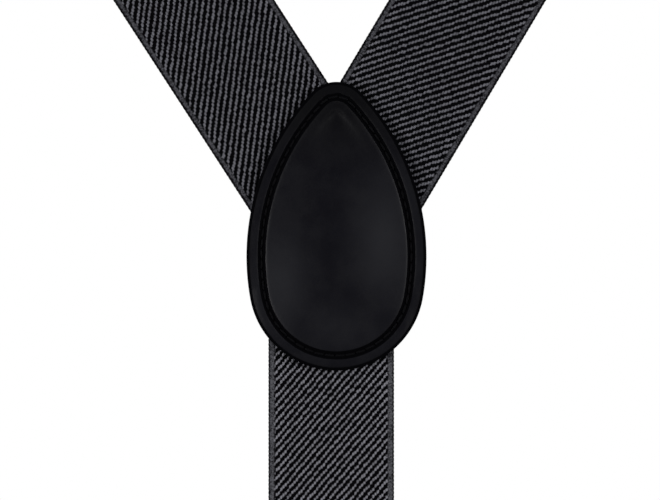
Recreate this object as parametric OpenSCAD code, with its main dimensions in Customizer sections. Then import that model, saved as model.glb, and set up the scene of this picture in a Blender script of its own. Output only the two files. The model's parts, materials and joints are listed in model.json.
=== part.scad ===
// Y-back suspenders with a leather yoke, hanging as a wearer holds them up.
// The yoke lies on the back in the XZ plane, outward is -Y at the back and +Y at the chest,
// and the origin is the centre of the yoke's round bottom, on the face that rests on the wearer.

/* [Webbing] */
// Width of the two front straps
front_w = 36; // [32:0.5:38]
// Width of the back strap
back_w = 33.4; // [30:0.2:36]
// Thickness of the elastic webbing
web_t = 1.4; // [1.2:0.05:1.5]

/* [Leather yoke] */
// Radius of the patch's round bottom
yoke_r = 23.4; // [22:0.1:27]
// Radius of the patch's tip
tip_r = 9; // [7:0.5:11]
// Height of the tip's centre above the bottom's centre
yoke_rise = 44.6; // [40:0.1:50]
// Turn above the bottom's round at which the sides start, which sets how high the widest place is
side_start = 10; // [0:1:15]
// Thickness of the front patch at its edge
front_patch_t = 1.6; // [1.2:0.1:2.2]
// Thickness of the backing patch
back_patch_t = 1.2; // [0.8:0.1:1.6]
// Distance of the stitch line from the patch's edge
stitch_inset = 4; // [3:0.1:5]
// Distance from one stitch to the next
stitch_pitch = 2.8; // [2.4:0.1:3.4]

/* [Lay of the straps] */
// Lean of the left strap from upright where it leaves the yoke
left_angle = 33; // [29:0.1:34]
// Lean of the right strap from upright where it leaves the yoke
right_angle = 30.8; // [29:0.1:34]
// Height where the centre lines of the front straps meet
cross_z = 16.8; // [12:0.1:20]
// Sideways place of the back strap
back_x = -1.4; // [-3:0.1:3]
// Sideways place of the front straps on the chest
front_x = 120; // [110:1:130]
// Height up to which the back is upright
back_rise = 110; // [100:1:120]
// Radius of the upper back
back_bend = 95; // [90:1:105]
// Radius of the top of the shoulder
shoulder_bend = 55; // [50:1:60]
// Radius of the chest
chest_bend = 220; // [200:5:240]
// Height of the bars that the clips hang from
clip_bar_z = -222; // [-235:1:-215]
// Height of the bars that the strap ends are sewn to, on the adjusters
adjuster_bar_z = -127; // [-135:1:-120]

/* [Clips] */
// Radius of the bar that a strap loops round
clip_bar_r = 2; // [1.8:0.1:2.2]
// Thickness of the clip's sheet steel
clip_t = 1.2; // [1:0.1:1.4]
// Radius of the lever's pivot pin
clip_pin_r = 1.2; // [1:0.1:1.3]
// Height from the bar down to the pivot pin
clip_pivot_drop = 32; // [30:0.5:34]
// Gap between the closed jaws
jaw_gap = 0.4; // [0.3:0.1:0.6]

/* [Adjusters] */
// Thickness of the adjuster's sheet steel
adjuster_t = 1; // [0.8:0.1:1.1]
// Radius of the adjuster's hinge pin
adjuster_pin_r = 1; // [0.8:0.1:1.1]
// Radius of the bar that the strap end is sewn round
adjuster_bar_r = 1.1; // [1:0.05:1.2]

/* [Hidden] */
DEG = 180 / PI;
BLACK_LEATHER = [0.09, 0.09, 0.10];
BACKING = [0.14, 0.14, 0.15];
GREY_TWILL = [0.30, 0.30, 0.32];
THREAD = [0.05, 0.05, 0.05];
NICKEL = [0.72, 0.72, 0.70];
BLACK_PLASTIC = [0.12, 0.12, 0.12];

RUNNING = 0.05;       // radial room of a pin in the piece that turns on it
SET = 0.02;           // radial room of a pin in the piece that holds it
LOOP_ROOM = 0.1;      // room between a bar and the webbing round it
BUTT_GAP = 0.15;      // room on each side of a butted strap end
SEW_GAP = 0.1;        // room between two layers that are sewn together

web_out_y = -back_patch_t - web_t;         // outer face of the webbing at the yoke
mid_y = -back_patch_t - web_t / 2;         // middle of the webbing at the yoke
butt_z = 2;                                // where the front straps end above the back strap
straight = 98;                             // length over which a strap runs straight from the cross
lean_in = 70;                              // forward lean where the upper back meets the shoulder
lean_over = 140;                           // forward lean where the shoulder meets the chest
across_steps = 4;
along_steps = 56;

stretch_len = 80;                          // elastic length at the chest that is let stretch
chest_piece = 12;                          // plain piece below it
clip_leg = 12;                             // legs of the loop round a clip's bar
back_flap = 26;                            // legs of the sewn loop at the back
adjuster_flap = 17;                        // legs of the sewn loop at an adjuster
fold_bend = 8;                             // height over which a sewn end comes back to its strap
back_top_z = -80;                          // lower end of the back strap's fixed piece
back_leg_z = clip_bar_z + back_flap + 4;   // lower end of its stretching piece

loop_r = clip_bar_r + LOOP_ROOM + web_t / 2;
sewn_r = adjuster_bar_r + LOOP_ROOM + web_t / 2;

// ---- the wearer's outline from the side, as [y, z] at a distance u up the back and over the shoulder

function arc_point(start, r, from, to) = start + r * [cos(from) - cos(to), sin(to) - sin(from)];

back_end = [mid_y, back_rise];
over_start = arc_point(back_end, back_bend, 0, lean_in);
chest_start = arc_point(over_start, shoulder_bend, lean_in, lean_over);
front_start = arc_point(chest_start, chest_bend, lean_over, 180);
u_in = back_rise + back_bend * lean_in / DEG;
u_over = u_in + shoulder_bend * (lean_over - lean_in) / DEG;
u_front = u_over + chest_bend * (180 - lean_over) / DEG;
front_y = front_start[0];
chest_z = front_start[1];

function lean(u) =
    u < back_rise ? 0 :
    u < u_in ? (u - back_rise) / back_bend * DEG :
    u < u_over ? lean_in + (u - u_in) / shoulder_bend * DEG :
    min(180, lean_over + (u - u_over) / chest_bend * DEG);

function outline(u) =
    u < back_rise ? [mid_y, u] :
    u < u_in ? arc_point(back_end, back_bend, 0, lean(u)) :
    u < u_over ? arc_point(over_start, shoulder_bend, lean_in, lean(u)) :
    arc_point(chest_start, chest_bend, lean_over, lean(u));

// The point x to the side and u along the outline, standing out by a height
function on_wearer(x, u, out) = let (p = outline(u), a = lean(u))
    [x, p[0] - out * cos(a), p[1] + out * sin(a)];

// ---- a front strap's lay, s along its centre line from the cross

function turn_len(angle) = (front_x - straight * sin(angle)) * (angle / DEG) / (1 - cos(angle));
function turn_r(angle) = turn_len(angle) * DEG / angle;
function lay_angle(s, angle) =
    s < straight ? angle : max(0, angle * (1 - (s - straight) / turn_len(angle)));
function lay_x(s, angle) =
    s < straight ? s * sin(angle) :
    straight * sin(angle) + turn_r(angle) * (cos(lay_angle(s, angle)) - cos(angle));
function lay_u(s, angle) = cross_z + (
    s < straight ? s * cos(angle) :
    straight * cos(angle) + turn_r(angle) * (sin(angle) - sin(lay_angle(s, angle)))
        + max(0, s - straight - turn_len(angle)));
function lay_end(angle) =
    u_front - cross_z + straight * (1 - cos(angle)) + turn_len(angle) - turn_r(angle) * sin(angle);

function lay_row(s, angle) = let (a = lay_angle(s, angle))
    [for (j = [0:across_steps]) let (v = front_w * (j / across_steps - 0.5))
        [lay_x(s, angle) + v * cos(a), lay_u(s, angle) - v * sin(a)]];

// The strap's cut end inside the yoke, square to the yoke and butted on its centre line
function butt_row(angle) = let (
    s = (butt_z - cross_z + front_w / 2 * sin(angle)) / cos(angle),
    outer_x = s * sin(angle) + front_w / 2 * cos(angle))
    [for (j = [0:across_steps]) [BUTT_GAP + (outer_x - BUTT_GAP) * j / across_steps, butt_z]];

function lay_rows(angle) = let (
    first = (BUTT_GAP + front_w / 2 * cos(angle)) / sin(angle),
    last = lay_end(angle))
    concat([butt_row(angle)],
           [for (i = [0:along_steps]) lay_row(first + (last - first) * i / along_steps, angle)]);

// A sheet of webbing through rows of points, each row from the inner edge to the outer one
module webbing_sheet(rows) {
    rings = len(rows);
    row = len(rows[0]);
    outer = [for (r = rows, p = r) on_wearer(p[0], p[1], web_t / 2)];
    inner = [for (r = rows, p = r) on_wearer(p[0], p[1], -web_t / 2)];
    n = rings * row;
    faces = [
        for (i = [0:rings - 2], j = [0:row - 2])
            let (a = i * row + j, b = a + row, c = b + 1, d = a + 1)
            each [[a, b, c], [a, c, d], [n + a, n + c, n + b], [n + a, n + d, n + c]],
        for (i = [0:rings - 2]) let (a = i * row, b = a + row)
            each [[n + a, n + b, b], [n + a, b, a]],
        for (i = [0:rings - 2]) let (a = i * row + row - 1, b = a + row)
            each [[a, b, n + b], [a, n + b, n + a]],
        for (j = [0:row - 2]) let (a = j, b = j + 1)
            each [[b, n + b, n + a], [b, n + a, a]],
        for (j = [0:row - 2]) let (a = n - row + j, b = a + 1)
            each [[a, n + a, n + b], [a, n + b, b]]
    ];
    polyhedron(points = concat(outer, inner), faces = faces);
}

// ---- shapes drawn in the YZ plane and made as wide as asked, about x = 0

module across(w) {
    rotate([90, 0, 90]) linear_extrude(w, center = true) children();
}

module rod(r, w, y, z) {
    translate([-w / 2, y, z]) rotate([0, 90, 0]) cylinder(r = r, h = w, $fn = 48);
}

module plate(x0, x1, y0, y1, z0, z1) {
    translate([x0, y0, z0]) cube([x1 - x0, y1 - y0, z1 - z0]);
}

module both_sides() {
    children();
    mirror([1, 0, 0]) children();
}

function unit(v) = v / norm(v);
function left_of(v) = [-v[1], v[0]];
function offset_dir(path, i) = let (
    before = unit(path[max(i, 1)] - path[max(i, 1) - 1]),
    after = unit(path[min(i, len(path) - 2) + 1] - path[min(i, len(path) - 2)]),
    n = unit(left_of(before + after)))
    n / (n * left_of(before));
function ribbon(path, t) = concat(
    [for (i = [0:len(path) - 1]) path[i] + offset_dir(path, i) * t / 2],
    [for (i = [len(path) - 1:-1:0]) path[i] - offset_dir(path, i) * t / 2]);

// Under a bar at the origin: down at -r, round, and up at +r
function under_bar(r) = [for (a = [180:12:360]) r * [cos(a), sin(a)]];

// The sewn end comes from +r back to lie against its own strap at -r
function sewn_end(r, top) = let (y = -r + web_t + SEW_GAP) concat(
    [for (k = [1:6]) [r + (y - r) * (1 - cos(30 * k)) / 2, fold_bend * k / 6]],
    [[y, top]]);

module open_loop(w, r, leg) {
    across(w) polygon(ribbon(concat([[-r, leg]], under_bar(r), [[r, leg]]), web_t));
}

module sewn_loop(w, r, leg, flap) {
    across(w) polygon(ribbon(concat([[-r, leg]], under_bar(r), sewn_end(r, flap)), web_t));
}

// Two rows of stitches on the flap's face and two on the strap's face
module loop_stitches(w, r, z0, z1) {
    stitch = [2, 0.3, 0.6];
    count = floor((w - 5) / stitch_pitch);
    for (z = [z0, z1], k = [0:count])
        for (y = [-r - web_t / 2 - stitch[1], -r + web_t * 1.5 + SEW_GAP])
            translate([(k - count / 2) * stitch_pitch - stitch[0] / 2, y, z]) cube(stitch);
}

// ---- leather yoke

side_rise = yoke_rise * sin(side_start);
side_r = (pow(yoke_rise, 2) + pow(yoke_r, 2) - pow(tip_r, 2) + 2 * yoke_r * side_rise)
    / (2 * (yoke_r - tip_r + side_rise));
side_c = (side_r - yoke_r) * [cos(side_start), sin(side_start)];
tip_turn = atan2(yoke_rise - side_c[1], side_c[0]);

// Four arcs that meet without a corner: round bottom, side, tip, side
function around(c, r, from, to, steps, first, last) = [for (k = [first:last])
    let (a = from + (to - from) * k / steps) c + r * [cos(a), sin(a)]];
function egg(inset) = concat(
    around([0, 0], yoke_r - inset, 180 + side_start, 360 - side_start, 27, 0, 27),
    around([-side_c[0], side_c[1]], side_r - inset, -side_start, tip_turn, 12, 1, 12),
    around([0, yoke_rise], tip_r - inset, tip_turn, 180 - tip_turn, 10, 1, 9),
    around(side_c, side_r - inset, 180 - tip_turn, 180 + side_start, 12, 0, 11));

module egg_plate(inset, y0, y1) {
    translate([0, y1, 0]) rotate([90, 0, 0]) linear_extrude(y1 - y0) polygon(egg(inset));
}

// Length round the egg, and the [point, direction] a distance along it
function steps(p) = [for (i = [0:len(p) - 1]) norm(p[(i + 1) % len(p)] - p[i])];
function before(d, i) = i == 0 ? 0 : d[i - 1] + before(d, i - 1);
function total(d) = before(d, len(d));
function walk(p, d, s, i = 0) =
    s > d[i] && i < len(d) - 1 ? walk(p, d, s - d[i], i + 1) :
    let (q = p[(i + 1) % len(p)] - p[i]) [p[i] + q * (s / d[i]), atan2(q[1], q[0])];

groove_w = 1.6;
groove_depth = 0.5;
crown = 0.6;
patch_out_y = web_out_y - front_patch_t;

module yoke_front_patch() {
    color(BLACK_LEATHER) difference() {
        union() {
            egg_plate(0, patch_out_y, web_out_y);
            egg_plate(stitch_inset + groove_w / 2, patch_out_y - crown, patch_out_y);
        }
        difference() {
            egg_plate(stitch_inset - groove_w / 2, patch_out_y - 1, patch_out_y + groove_depth);
            egg_plate(stitch_inset + groove_w / 2, patch_out_y - 2, patch_out_y + groove_depth + 1);
        }
    }
}

module yoke_back_patch() {
    color(BACKING) egg_plate(0, -back_patch_t, 0);
}

module yoke_stitching() {
    stitch = [2.1, 0.4, 0.7];
    line = egg(stitch_inset);
    d = steps(line);
    count = round(total(d) / stitch_pitch);
    color(THREAD) for (k = [0:count - 1]) let (at = walk(line, d, total(d) * k / count))
        translate([at[0][0], patch_out_y + groove_depth - stitch[1] / 2, at[0][1]])
            rotate([0, -at[1], 0]) cube(stitch, center = true);
}

// ---- webbing

module front_strap_box(z0, z1, y) {
    color(GREY_TWILL) plate(-front_w / 2, front_w / 2, y - web_t / 2, y + web_t / 2, z0, z1);
}

elastic_end = chest_z - stretch_len;
run_top = elastic_end - chest_piece;
run_end = clip_bar_z + clip_leg;
return_y = front_y - 2 * loop_r;
return_top = adjuster_bar_z - adjuster_flap;

module shoulder_strap(angle) {
    color(GREY_TWILL) webbing_sheet(lay_rows(angle));
}

module chest_elastic() {
    front_strap_box(elastic_end, chest_z, front_y);
}

module chest_strap() {
    front_strap_box(run_top, elastic_end, front_y);
}

module front_run() {
    front_strap_box(run_end, run_top, front_y);
}

module return_run() {
    front_strap_box(run_end, return_top, return_y);
}

module front_clip_loop() {
    color(GREY_TWILL) translate([0, front_y - loop_r, clip_bar_z]) rotate([0, 0, 180])
        open_loop(front_w, loop_r, clip_leg);
}

module at_adjuster_bar() {
    translate([0, return_y + sewn_r, adjuster_bar_z]) mirror([0, 0, 1]) children();
}

module adjuster_loop() {
    color(GREY_TWILL) at_adjuster_bar() sewn_loop(front_w, sewn_r, adjuster_flap, adjuster_flap - 1);
}

module adjuster_stitching() {
    color(THREAD) at_adjuster_bar() loop_stitches(front_w, sewn_r, 10, 13);
}

module back_strap() {
    color(GREY_TWILL) translate([back_x, 0, 0])
        plate(-back_w / 2, back_w / 2, web_out_y, -back_patch_t, back_top_z, butt_z - 2 * BUTT_GAP);
}

module back_elastic() {
    color(GREY_TWILL) translate([back_x, 0, 0])
        plate(-back_w / 2, back_w / 2, web_out_y, -back_patch_t, back_leg_z, back_top_z);
}

module at_back_bar() {
    translate([back_x, mid_y + loop_r, clip_bar_z]) children();
}

module back_clip_loop() {
    color(GREY_TWILL) at_back_bar() sewn_loop(back_w, loop_r, back_leg_z - clip_bar_z, back_flap);
}

module back_loop_stitching() {
    color(THREAD) at_back_bar() loop_stitches(back_w, loop_r, 12, 20);
}

// ---- clip, drawn outward to -Y with its bar on the X axis at the origin

arm_x = 19;
arm_w = 2;
clip_half = 15;
ear_t = 1.2;
ear_r = 2.6;
grip_t = 0.6;
pivot_y = -(clip_t / 2 + grip_t + 3.7);
pivot_z = -clip_pivot_drop;
nose_r = 3.7 - jaw_gap;
jaw_half = 12.2;
cover_bend = 90;
cover_top = -7;
cover_foot = pivot_z - 2.8;
cover_in_y = pivot_y - 4;

module clip_frame() {
    color(NICKEL) {
        difference() {
            union() {
                translate([0, clip_t / 2, 0]) rotate([90, 0, 0]) linear_extrude(clip_t) difference() {
                    polygon([
                        [-arm_x - arm_w, 0], [-arm_x - arm_w, -9], [-clip_half, -15], [-clip_half, -40],
                        [-clip_half + 2, -42], [clip_half - 2, -42], [clip_half, -40], [clip_half, -15],
                        [arm_x + arm_w, -9], [arm_x + arm_w, 0]
                    ]);
                    translate([-arm_x, -6.5]) square([2 * arm_x, 7.5]);
                }
                rod(clip_bar_r, 2 * (arm_x + arm_w), 0, 0);
                both_sides() translate([clip_half - ear_t / 2, 0, 0]) {
                    across(ear_t) polygon([
                        [0, pivot_z - 2.2], [pivot_y, pivot_z - 2.2], [pivot_y - 1, pivot_z],
                        [pivot_y, pivot_z + ear_r - 0.01], [0, pivot_z + 8]
                    ]);
                    rod(ear_r, ear_t, pivot_y, pivot_z);
                }
            }
            rod(clip_pin_r + SET, 3 * clip_half, pivot_y, pivot_z);
        }
    }
}

module clip_pin() {
    color(NICKEL) {
        rod(clip_pin_r, 2 * clip_half + 1.4, pivot_y, pivot_z);
        both_sides() translate([clip_half + 0.65, 0, 0]) rod(2, 1.1, pivot_y, pivot_z);
    }
}

module clip_grip_pad() {
    color(BLACK_PLASTIC) across(2 * jaw_half) polygon(concat(
        [[-clip_t / 2, -41], [-clip_t / 2, -26]],
        [for (z = [-27:-1:-40]) each [[-clip_t / 2 - grip_t, z + 0.25], [-clip_t / 2 - grip_t + 0.3, z - 0.25]]]));
}

module clip_lever() {
    color(NICKEL) difference() {
        union() {
            intersection() {
                translate([0, cover_in_y - clip_t + cover_bend, cover_foot]) difference() {
                    cylinder(r = cover_bend, h = cover_top - cover_foot, $fn = 96);
                    translate([0, 0, -1])
                        cylinder(r = cover_bend - clip_t, h = cover_top - cover_foot + 2, $fn = 96);
                }
                rotate([90, 0, 0]) linear_extrude(20) hull() {
                    for (x = [-11.4, 11.4]) translate([x, cover_top - 5]) circle(r = 5, $fn = 32);
                    for (x = [-13.4, 13.4]) translate([x, cover_foot + 3]) circle(r = 3, $fn = 32);
                }
            }
            both_sides() translate([clip_half - ear_t - 0.3 - ear_t / 2, 0, 0]) {
                across(ear_t) polygon([
                    [pivot_y - 4.3, pivot_z - 1.6], [pivot_y - 4.3, pivot_z + 12],
                    [pivot_y - 2.8, pivot_z + 12], [pivot_y + 2.2, pivot_z + 1], [pivot_y, pivot_z - 2.3]
                ]);
                rod(2.4, ear_t, pivot_y, pivot_z);
            }
        }
        rod(clip_pin_r + RUNNING, 3 * clip_half, pivot_y, pivot_z);
    }
}

module clip_lever_pad() {
    pad_half = clip_half - 2 * ear_t - 0.4;
    color(BLACK_PLASTIC) difference() {
        intersection() {
            translate([-pad_half, pivot_y - 1.9, pivot_z - 1.9])
                cube([2 * pad_half, 1.9 + nose_r, 4.2]);
            union() {
                rod(nose_r, 3 * clip_half, pivot_y, pivot_z);
                plate(-clip_half, clip_half, pivot_y - 2, pivot_y + nose_r, pivot_z, pivot_z + 3);
            }
        }
        rod(clip_pin_r + RUNNING, 3 * clip_half, pivot_y, pivot_z);
        for (z = [0.5, 1.2, 1.9]) rod(0.2, 3 * clip_half, pivot_y + nose_r, pivot_z + z);
    }
}

module at_front_bar() {
    translate([0, front_y - loop_r, clip_bar_z]) rotate([0, 0, 180]) children();
}

// ---- adjuster, drawn in place on the front strap, outward to +Y

adjuster_half = 18.8;
adjuster_mid_z = adjuster_bar_z + 13;
pin_y = front_y + 2.9;
pin_z = adjuster_mid_z + 8;
bar_y = return_y + sewn_r;
dome_bend = 200;

module adjuster_frame() {
    floor_y = front_y - web_t / 2 - 0.5;
    color(NICKEL) difference() {
        union() {
            plate(-adjuster_half - adjuster_t / 2, adjuster_half + adjuster_t / 2,
                  floor_y - adjuster_t, floor_y, adjuster_mid_z - 9, adjuster_mid_z + 9);
            both_sides() translate([adjuster_half + adjuster_t / 2, 0, 0]) across(adjuster_t) polygon([
                [floor_y - adjuster_t, adjuster_mid_z + 9], [front_y + 1.6, adjuster_mid_z + 10],
                [front_y + 4.2, adjuster_mid_z + 9.5], [front_y + 4.2, adjuster_mid_z - 6],
                [front_y - 1, adjuster_mid_z - 12], [front_y - 1, adjuster_mid_z - 15.3],
                [bar_y - 2.2, adjuster_mid_z - 15.3], [bar_y - 2.2, adjuster_mid_z - 11],
                [floor_y - adjuster_t, adjuster_mid_z - 7]
            ]);
            rod(adjuster_bar_r, 2 * adjuster_half + adjuster_t, bar_y, adjuster_bar_z);
        }
        rod(adjuster_pin_r + SET, 3 * adjuster_half, pin_y, pin_z);
    }
}

module adjuster_pin() {
    color(NICKEL) {
        rod(adjuster_pin_r, 2 * (adjuster_half + adjuster_t) + 1.2, pin_y, pin_z);
        both_sides() translate([adjuster_half + adjuster_t + 0.45, 0, 0]) rod(1.3, 0.8, pin_y, pin_z);
    }
}

module adjuster_lever() {
    wide = adjuster_half + adjuster_t + 0.9;
    narrow = adjuster_half - 0.3;
    cover_y = front_y + 5.3;
    color(NICKEL) difference() {
        union() {
            intersection() {
                translate([0, cover_y + adjuster_t - dome_bend, adjuster_mid_z - 13]) difference() {
                    cylinder(r = dome_bend, h = 25, $fn = 96);
                    translate([0, 0, -1]) cylinder(r = dome_bend - adjuster_t, h = 27, $fn = 96);
                }
                translate([0, front_y + 12, adjuster_mid_z]) rotate([90, 0, 0]) linear_extrude(12) {
                    hull() {
                        for (x = [3 - wide, wide - 3]) translate([x, -9.5]) circle(r = 3, $fn = 32);
                        translate([-wide, 4]) square([2 * wide, 1.5]);
                    }
                    translate([-narrow, 5]) square([2 * narrow, 4.9]);
                }
            }
            rod(1.9, 2 * narrow, pin_y, pin_z);
            plate(-narrow, narrow, pin_y, cover_y + 0.1, pin_z - 1, pin_z + 1);
        }
        rod(adjuster_pin_r + RUNNING, 3 * adjuster_half, pin_y, pin_z);
        for (z = [-1.1, 0, 1.1]) rod(0.25, 3 * adjuster_half, pin_y - 1.85, pin_z + z);
    }
}

// ---- the pieces in place

yoke_front_patch();
yoke_back_patch();
yoke_stitching();

mirror([1, 0, 0]) shoulder_strap(left_angle);  // left_shoulder_strap
translate([-front_x, 0, 0]) chest_elastic();  // left_chest_elastic
translate([-front_x, 0, 0]) chest_strap();  // left_chest_strap
translate([-front_x, 0, 0]) front_run();  // left_front_run
translate([-front_x, 0, 0]) front_clip_loop();  // left_clip_loop
translate([-front_x, 0, 0]) return_run();  // left_return_run
translate([-front_x, 0, 0]) adjuster_loop();  // left_adjuster_loop
translate([-front_x, 0, 0]) adjuster_stitching();  // left_adjuster_stitching
translate([-front_x, 0, 0]) adjuster_frame();  // left_adjuster_frame
translate([-front_x, 0, 0]) adjuster_lever();  // left_adjuster_lever
translate([-front_x, 0, 0]) adjuster_pin();  // left_adjuster_pin
translate([-front_x, 0, 0]) at_front_bar() clip_frame();  // left_clip_frame
translate([-front_x, 0, 0]) at_front_bar() clip_lever();  // left_clip_lever
translate([-front_x, 0, 0]) at_front_bar() clip_pin();  // left_clip_pin
translate([-front_x, 0, 0]) at_front_bar() clip_lever_pad();  // left_clip_lever_pad
translate([-front_x, 0, 0]) at_front_bar() clip_grip_pad();  // left_clip_grip_pad

shoulder_strap(right_angle);  // right_shoulder_strap
translate([front_x, 0, 0]) chest_elastic();  // right_chest_elastic
translate([front_x, 0, 0]) chest_strap();  // right_chest_strap
translate([front_x, 0, 0]) front_run();  // right_front_run
translate([front_x, 0, 0]) front_clip_loop();  // right_clip_loop
translate([front_x, 0, 0]) return_run();  // right_return_run
translate([front_x, 0, 0]) adjuster_loop();  // right_adjuster_loop
translate([front_x, 0, 0]) adjuster_stitching();  // right_adjuster_stitching
translate([front_x, 0, 0]) adjuster_frame();  // right_adjuster_frame
translate([front_x, 0, 0]) adjuster_lever();  // right_adjuster_lever
translate([front_x, 0, 0]) adjuster_pin();  // right_adjuster_pin
translate([front_x, 0, 0]) at_front_bar() clip_frame();  // right_clip_frame
translate([front_x, 0, 0]) at_front_bar() clip_lever();  // right_clip_lever
translate([front_x, 0, 0]) at_front_bar() clip_pin();  // right_clip_pin
translate([front_x, 0, 0]) at_front_bar() clip_lever_pad();  // right_clip_lever_pad
translate([front_x, 0, 0]) at_front_bar() clip_grip_pad();  // right_clip_grip_pad

back_strap();
back_elastic();
back_clip_loop();
back_loop_stitching();
at_back_bar() clip_frame();  // back_clip_frame
at_back_bar() clip_lever();  // back_clip_lever
at_back_bar() clip_pin();  // back_clip_pin
at_back_bar() clip_lever_pad();  // back_clip_lever_pad
at_back_bar() clip_grip_pad();  // back_clip_grip_pad
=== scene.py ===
# %% [markdown]
# # Y-back suspenders with a leather yoke
# Three elastic straps meet under an egg-shaped leather patch between the
# shoulder blades. Two go over the shoulders and one hangs down the back, and
# each ends in a steel clip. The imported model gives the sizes, the places and
# the bodies that move, so the first step is to load it as a fixed frame.
# Everything below is in metres and in that same frame.

# %% Load the frame
import json
import math

import bmesh
import bpy
import numpy as np
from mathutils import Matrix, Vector

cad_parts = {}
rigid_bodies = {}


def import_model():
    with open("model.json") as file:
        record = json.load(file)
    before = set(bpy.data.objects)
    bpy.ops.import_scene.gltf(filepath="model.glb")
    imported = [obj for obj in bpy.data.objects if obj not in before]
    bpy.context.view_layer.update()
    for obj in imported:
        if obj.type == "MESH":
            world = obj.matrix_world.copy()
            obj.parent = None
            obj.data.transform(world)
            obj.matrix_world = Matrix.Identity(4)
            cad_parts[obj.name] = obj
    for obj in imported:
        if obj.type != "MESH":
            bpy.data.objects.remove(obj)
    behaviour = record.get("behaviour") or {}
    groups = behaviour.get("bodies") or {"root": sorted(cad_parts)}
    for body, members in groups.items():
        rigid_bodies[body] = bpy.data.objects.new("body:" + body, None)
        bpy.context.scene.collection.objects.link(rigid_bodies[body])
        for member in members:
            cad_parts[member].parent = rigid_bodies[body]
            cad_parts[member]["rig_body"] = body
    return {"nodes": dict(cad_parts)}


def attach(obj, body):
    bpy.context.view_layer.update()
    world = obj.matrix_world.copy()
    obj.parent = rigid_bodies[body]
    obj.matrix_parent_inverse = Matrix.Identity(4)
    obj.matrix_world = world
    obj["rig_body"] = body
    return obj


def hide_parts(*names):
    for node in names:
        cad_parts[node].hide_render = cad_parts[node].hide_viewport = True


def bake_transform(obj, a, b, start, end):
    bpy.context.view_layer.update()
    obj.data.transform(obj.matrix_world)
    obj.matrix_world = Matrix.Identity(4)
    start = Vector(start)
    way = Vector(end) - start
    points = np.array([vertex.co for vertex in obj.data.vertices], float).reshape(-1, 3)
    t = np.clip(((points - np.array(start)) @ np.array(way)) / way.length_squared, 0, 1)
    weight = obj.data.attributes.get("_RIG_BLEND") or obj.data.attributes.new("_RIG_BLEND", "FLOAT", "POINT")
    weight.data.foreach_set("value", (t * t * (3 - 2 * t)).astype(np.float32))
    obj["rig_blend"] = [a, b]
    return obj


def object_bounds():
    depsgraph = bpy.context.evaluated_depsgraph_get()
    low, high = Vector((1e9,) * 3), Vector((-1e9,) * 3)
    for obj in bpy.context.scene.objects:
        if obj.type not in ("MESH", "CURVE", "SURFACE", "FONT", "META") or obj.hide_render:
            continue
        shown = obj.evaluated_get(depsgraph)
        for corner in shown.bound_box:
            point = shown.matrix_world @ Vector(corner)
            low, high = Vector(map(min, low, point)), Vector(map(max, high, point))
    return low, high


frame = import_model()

MM = 0.001
DEGREE = math.pi / 180
cad_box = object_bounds()

# %% [markdown]
# ## Camera, light and floor
# The suspenders are looked at squarely from behind, from far away, so a long
# lens keeps the straps' edges straight. A perspective camera is used because
# it can also be moved round the object later. The air behind is plain white,
# and only the camera sees it: black leather would turn grey if it mirrored a
# white room. So the room that lights the object is dim on the side that the
# leather faces, bright on the side that the steel of the chest faces, and
# brighter above than below.

# %% Camera
VIEW_CENTRE = Vector((-1.73 * MM, 0, 8.75 * MM))
VIEW_WIDTH = 176 * MM
CAMERA_BACK = 2.2
SENSOR = 36

camera_data = bpy.data.cameras.new("camera")
camera_data.sensor_width = SENSOR
camera_data.lens = SENSOR * CAMERA_BACK / VIEW_WIDTH
camera_data.clip_start = 0.1
camera_data.clip_end = 50
camera = bpy.data.objects.new("camera", camera_data)
camera.location = VIEW_CENTRE + Vector((0, -CAMERA_BACK - 4 * MM, 0))
camera.rotation_euler = (90 * DEGREE, 0, 0)
bpy.context.scene.collection.objects.link(camera)
bpy.context.scene.camera = camera
print("lens", round(camera_data.lens), "mm")

# %% Room and lights
def room(seen, dim, bright):
    """White to the camera; to the rest, dim towards -Y, bright towards +Y and up."""
    world = bpy.data.worlds.new("room")
    bpy.context.scene.world = world
    world.use_nodes = True
    nodes, links = world.node_tree.nodes, world.node_tree.links
    nodes.clear()
    path = nodes.new("ShaderNodeLightPath")
    backdrop = nodes.new("ShaderNodeBackground")
    backdrop.inputs["Color"].default_value = (1, 1, 1, 1)
    backdrop.inputs["Strength"].default_value = seen
    walls = nodes.new("ShaderNodeBackground")
    walls.inputs["Color"].default_value = (0.95, 0.97, 1, 1)
    direction = nodes.new("ShaderNodeTexCoord")
    split = nodes.new("ShaderNodeSeparateXYZ")
    links.new(direction.outputs["Generated"], split.inputs[0])

    def rise(axis, start, end, low, high):
        """A smooth rise in brightness along one direction."""
        made = nodes.new("ShaderNodeMapRange")
        made.interpolation_type = "SMOOTHSTEP"
        levels = {"From Min": start, "From Max": end, "To Min": low, "To Max": high}
        for label, value in levels.items():
            made.inputs[label].default_value = value
        links.new(split.outputs[axis], made.inputs["Value"])
        return made.outputs[0]

    both = nodes.new("ShaderNodeMath")
    both.operation = "MULTIPLY"
    links.new(rise("Y", -0.1, 0.8, dim, bright), both.inputs[0])
    links.new(rise("Z", -0.3, 0.8, 0.45, 1.8), both.inputs[1])
    links.new(both.outputs[0], walls.inputs["Strength"])
    mix = nodes.new("ShaderNodeMixShader")
    out = nodes.new("ShaderNodeOutputWorld")
    links.new(path.outputs["Is Camera Ray"], mix.inputs[0])
    links.new(walls.outputs[0], mix.inputs[1])
    links.new(backdrop.outputs[0], mix.inputs[2])
    links.new(mix.outputs[0], out.inputs["Surface"])


def soft_light(name, place, size, power):
    """A square area light that faces the yoke."""
    data = bpy.data.lights.new(name, "AREA")
    data.size = size
    data.energy = power
    light = bpy.data.objects.new(name, data)
    light.location = place
    aim = Vector((0, 0, 20 * MM)) - Vector(place)
    light.rotation_euler = aim.to_track_quat("-Z", "Y").to_euler()
    bpy.context.scene.collection.objects.link(light)


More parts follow.
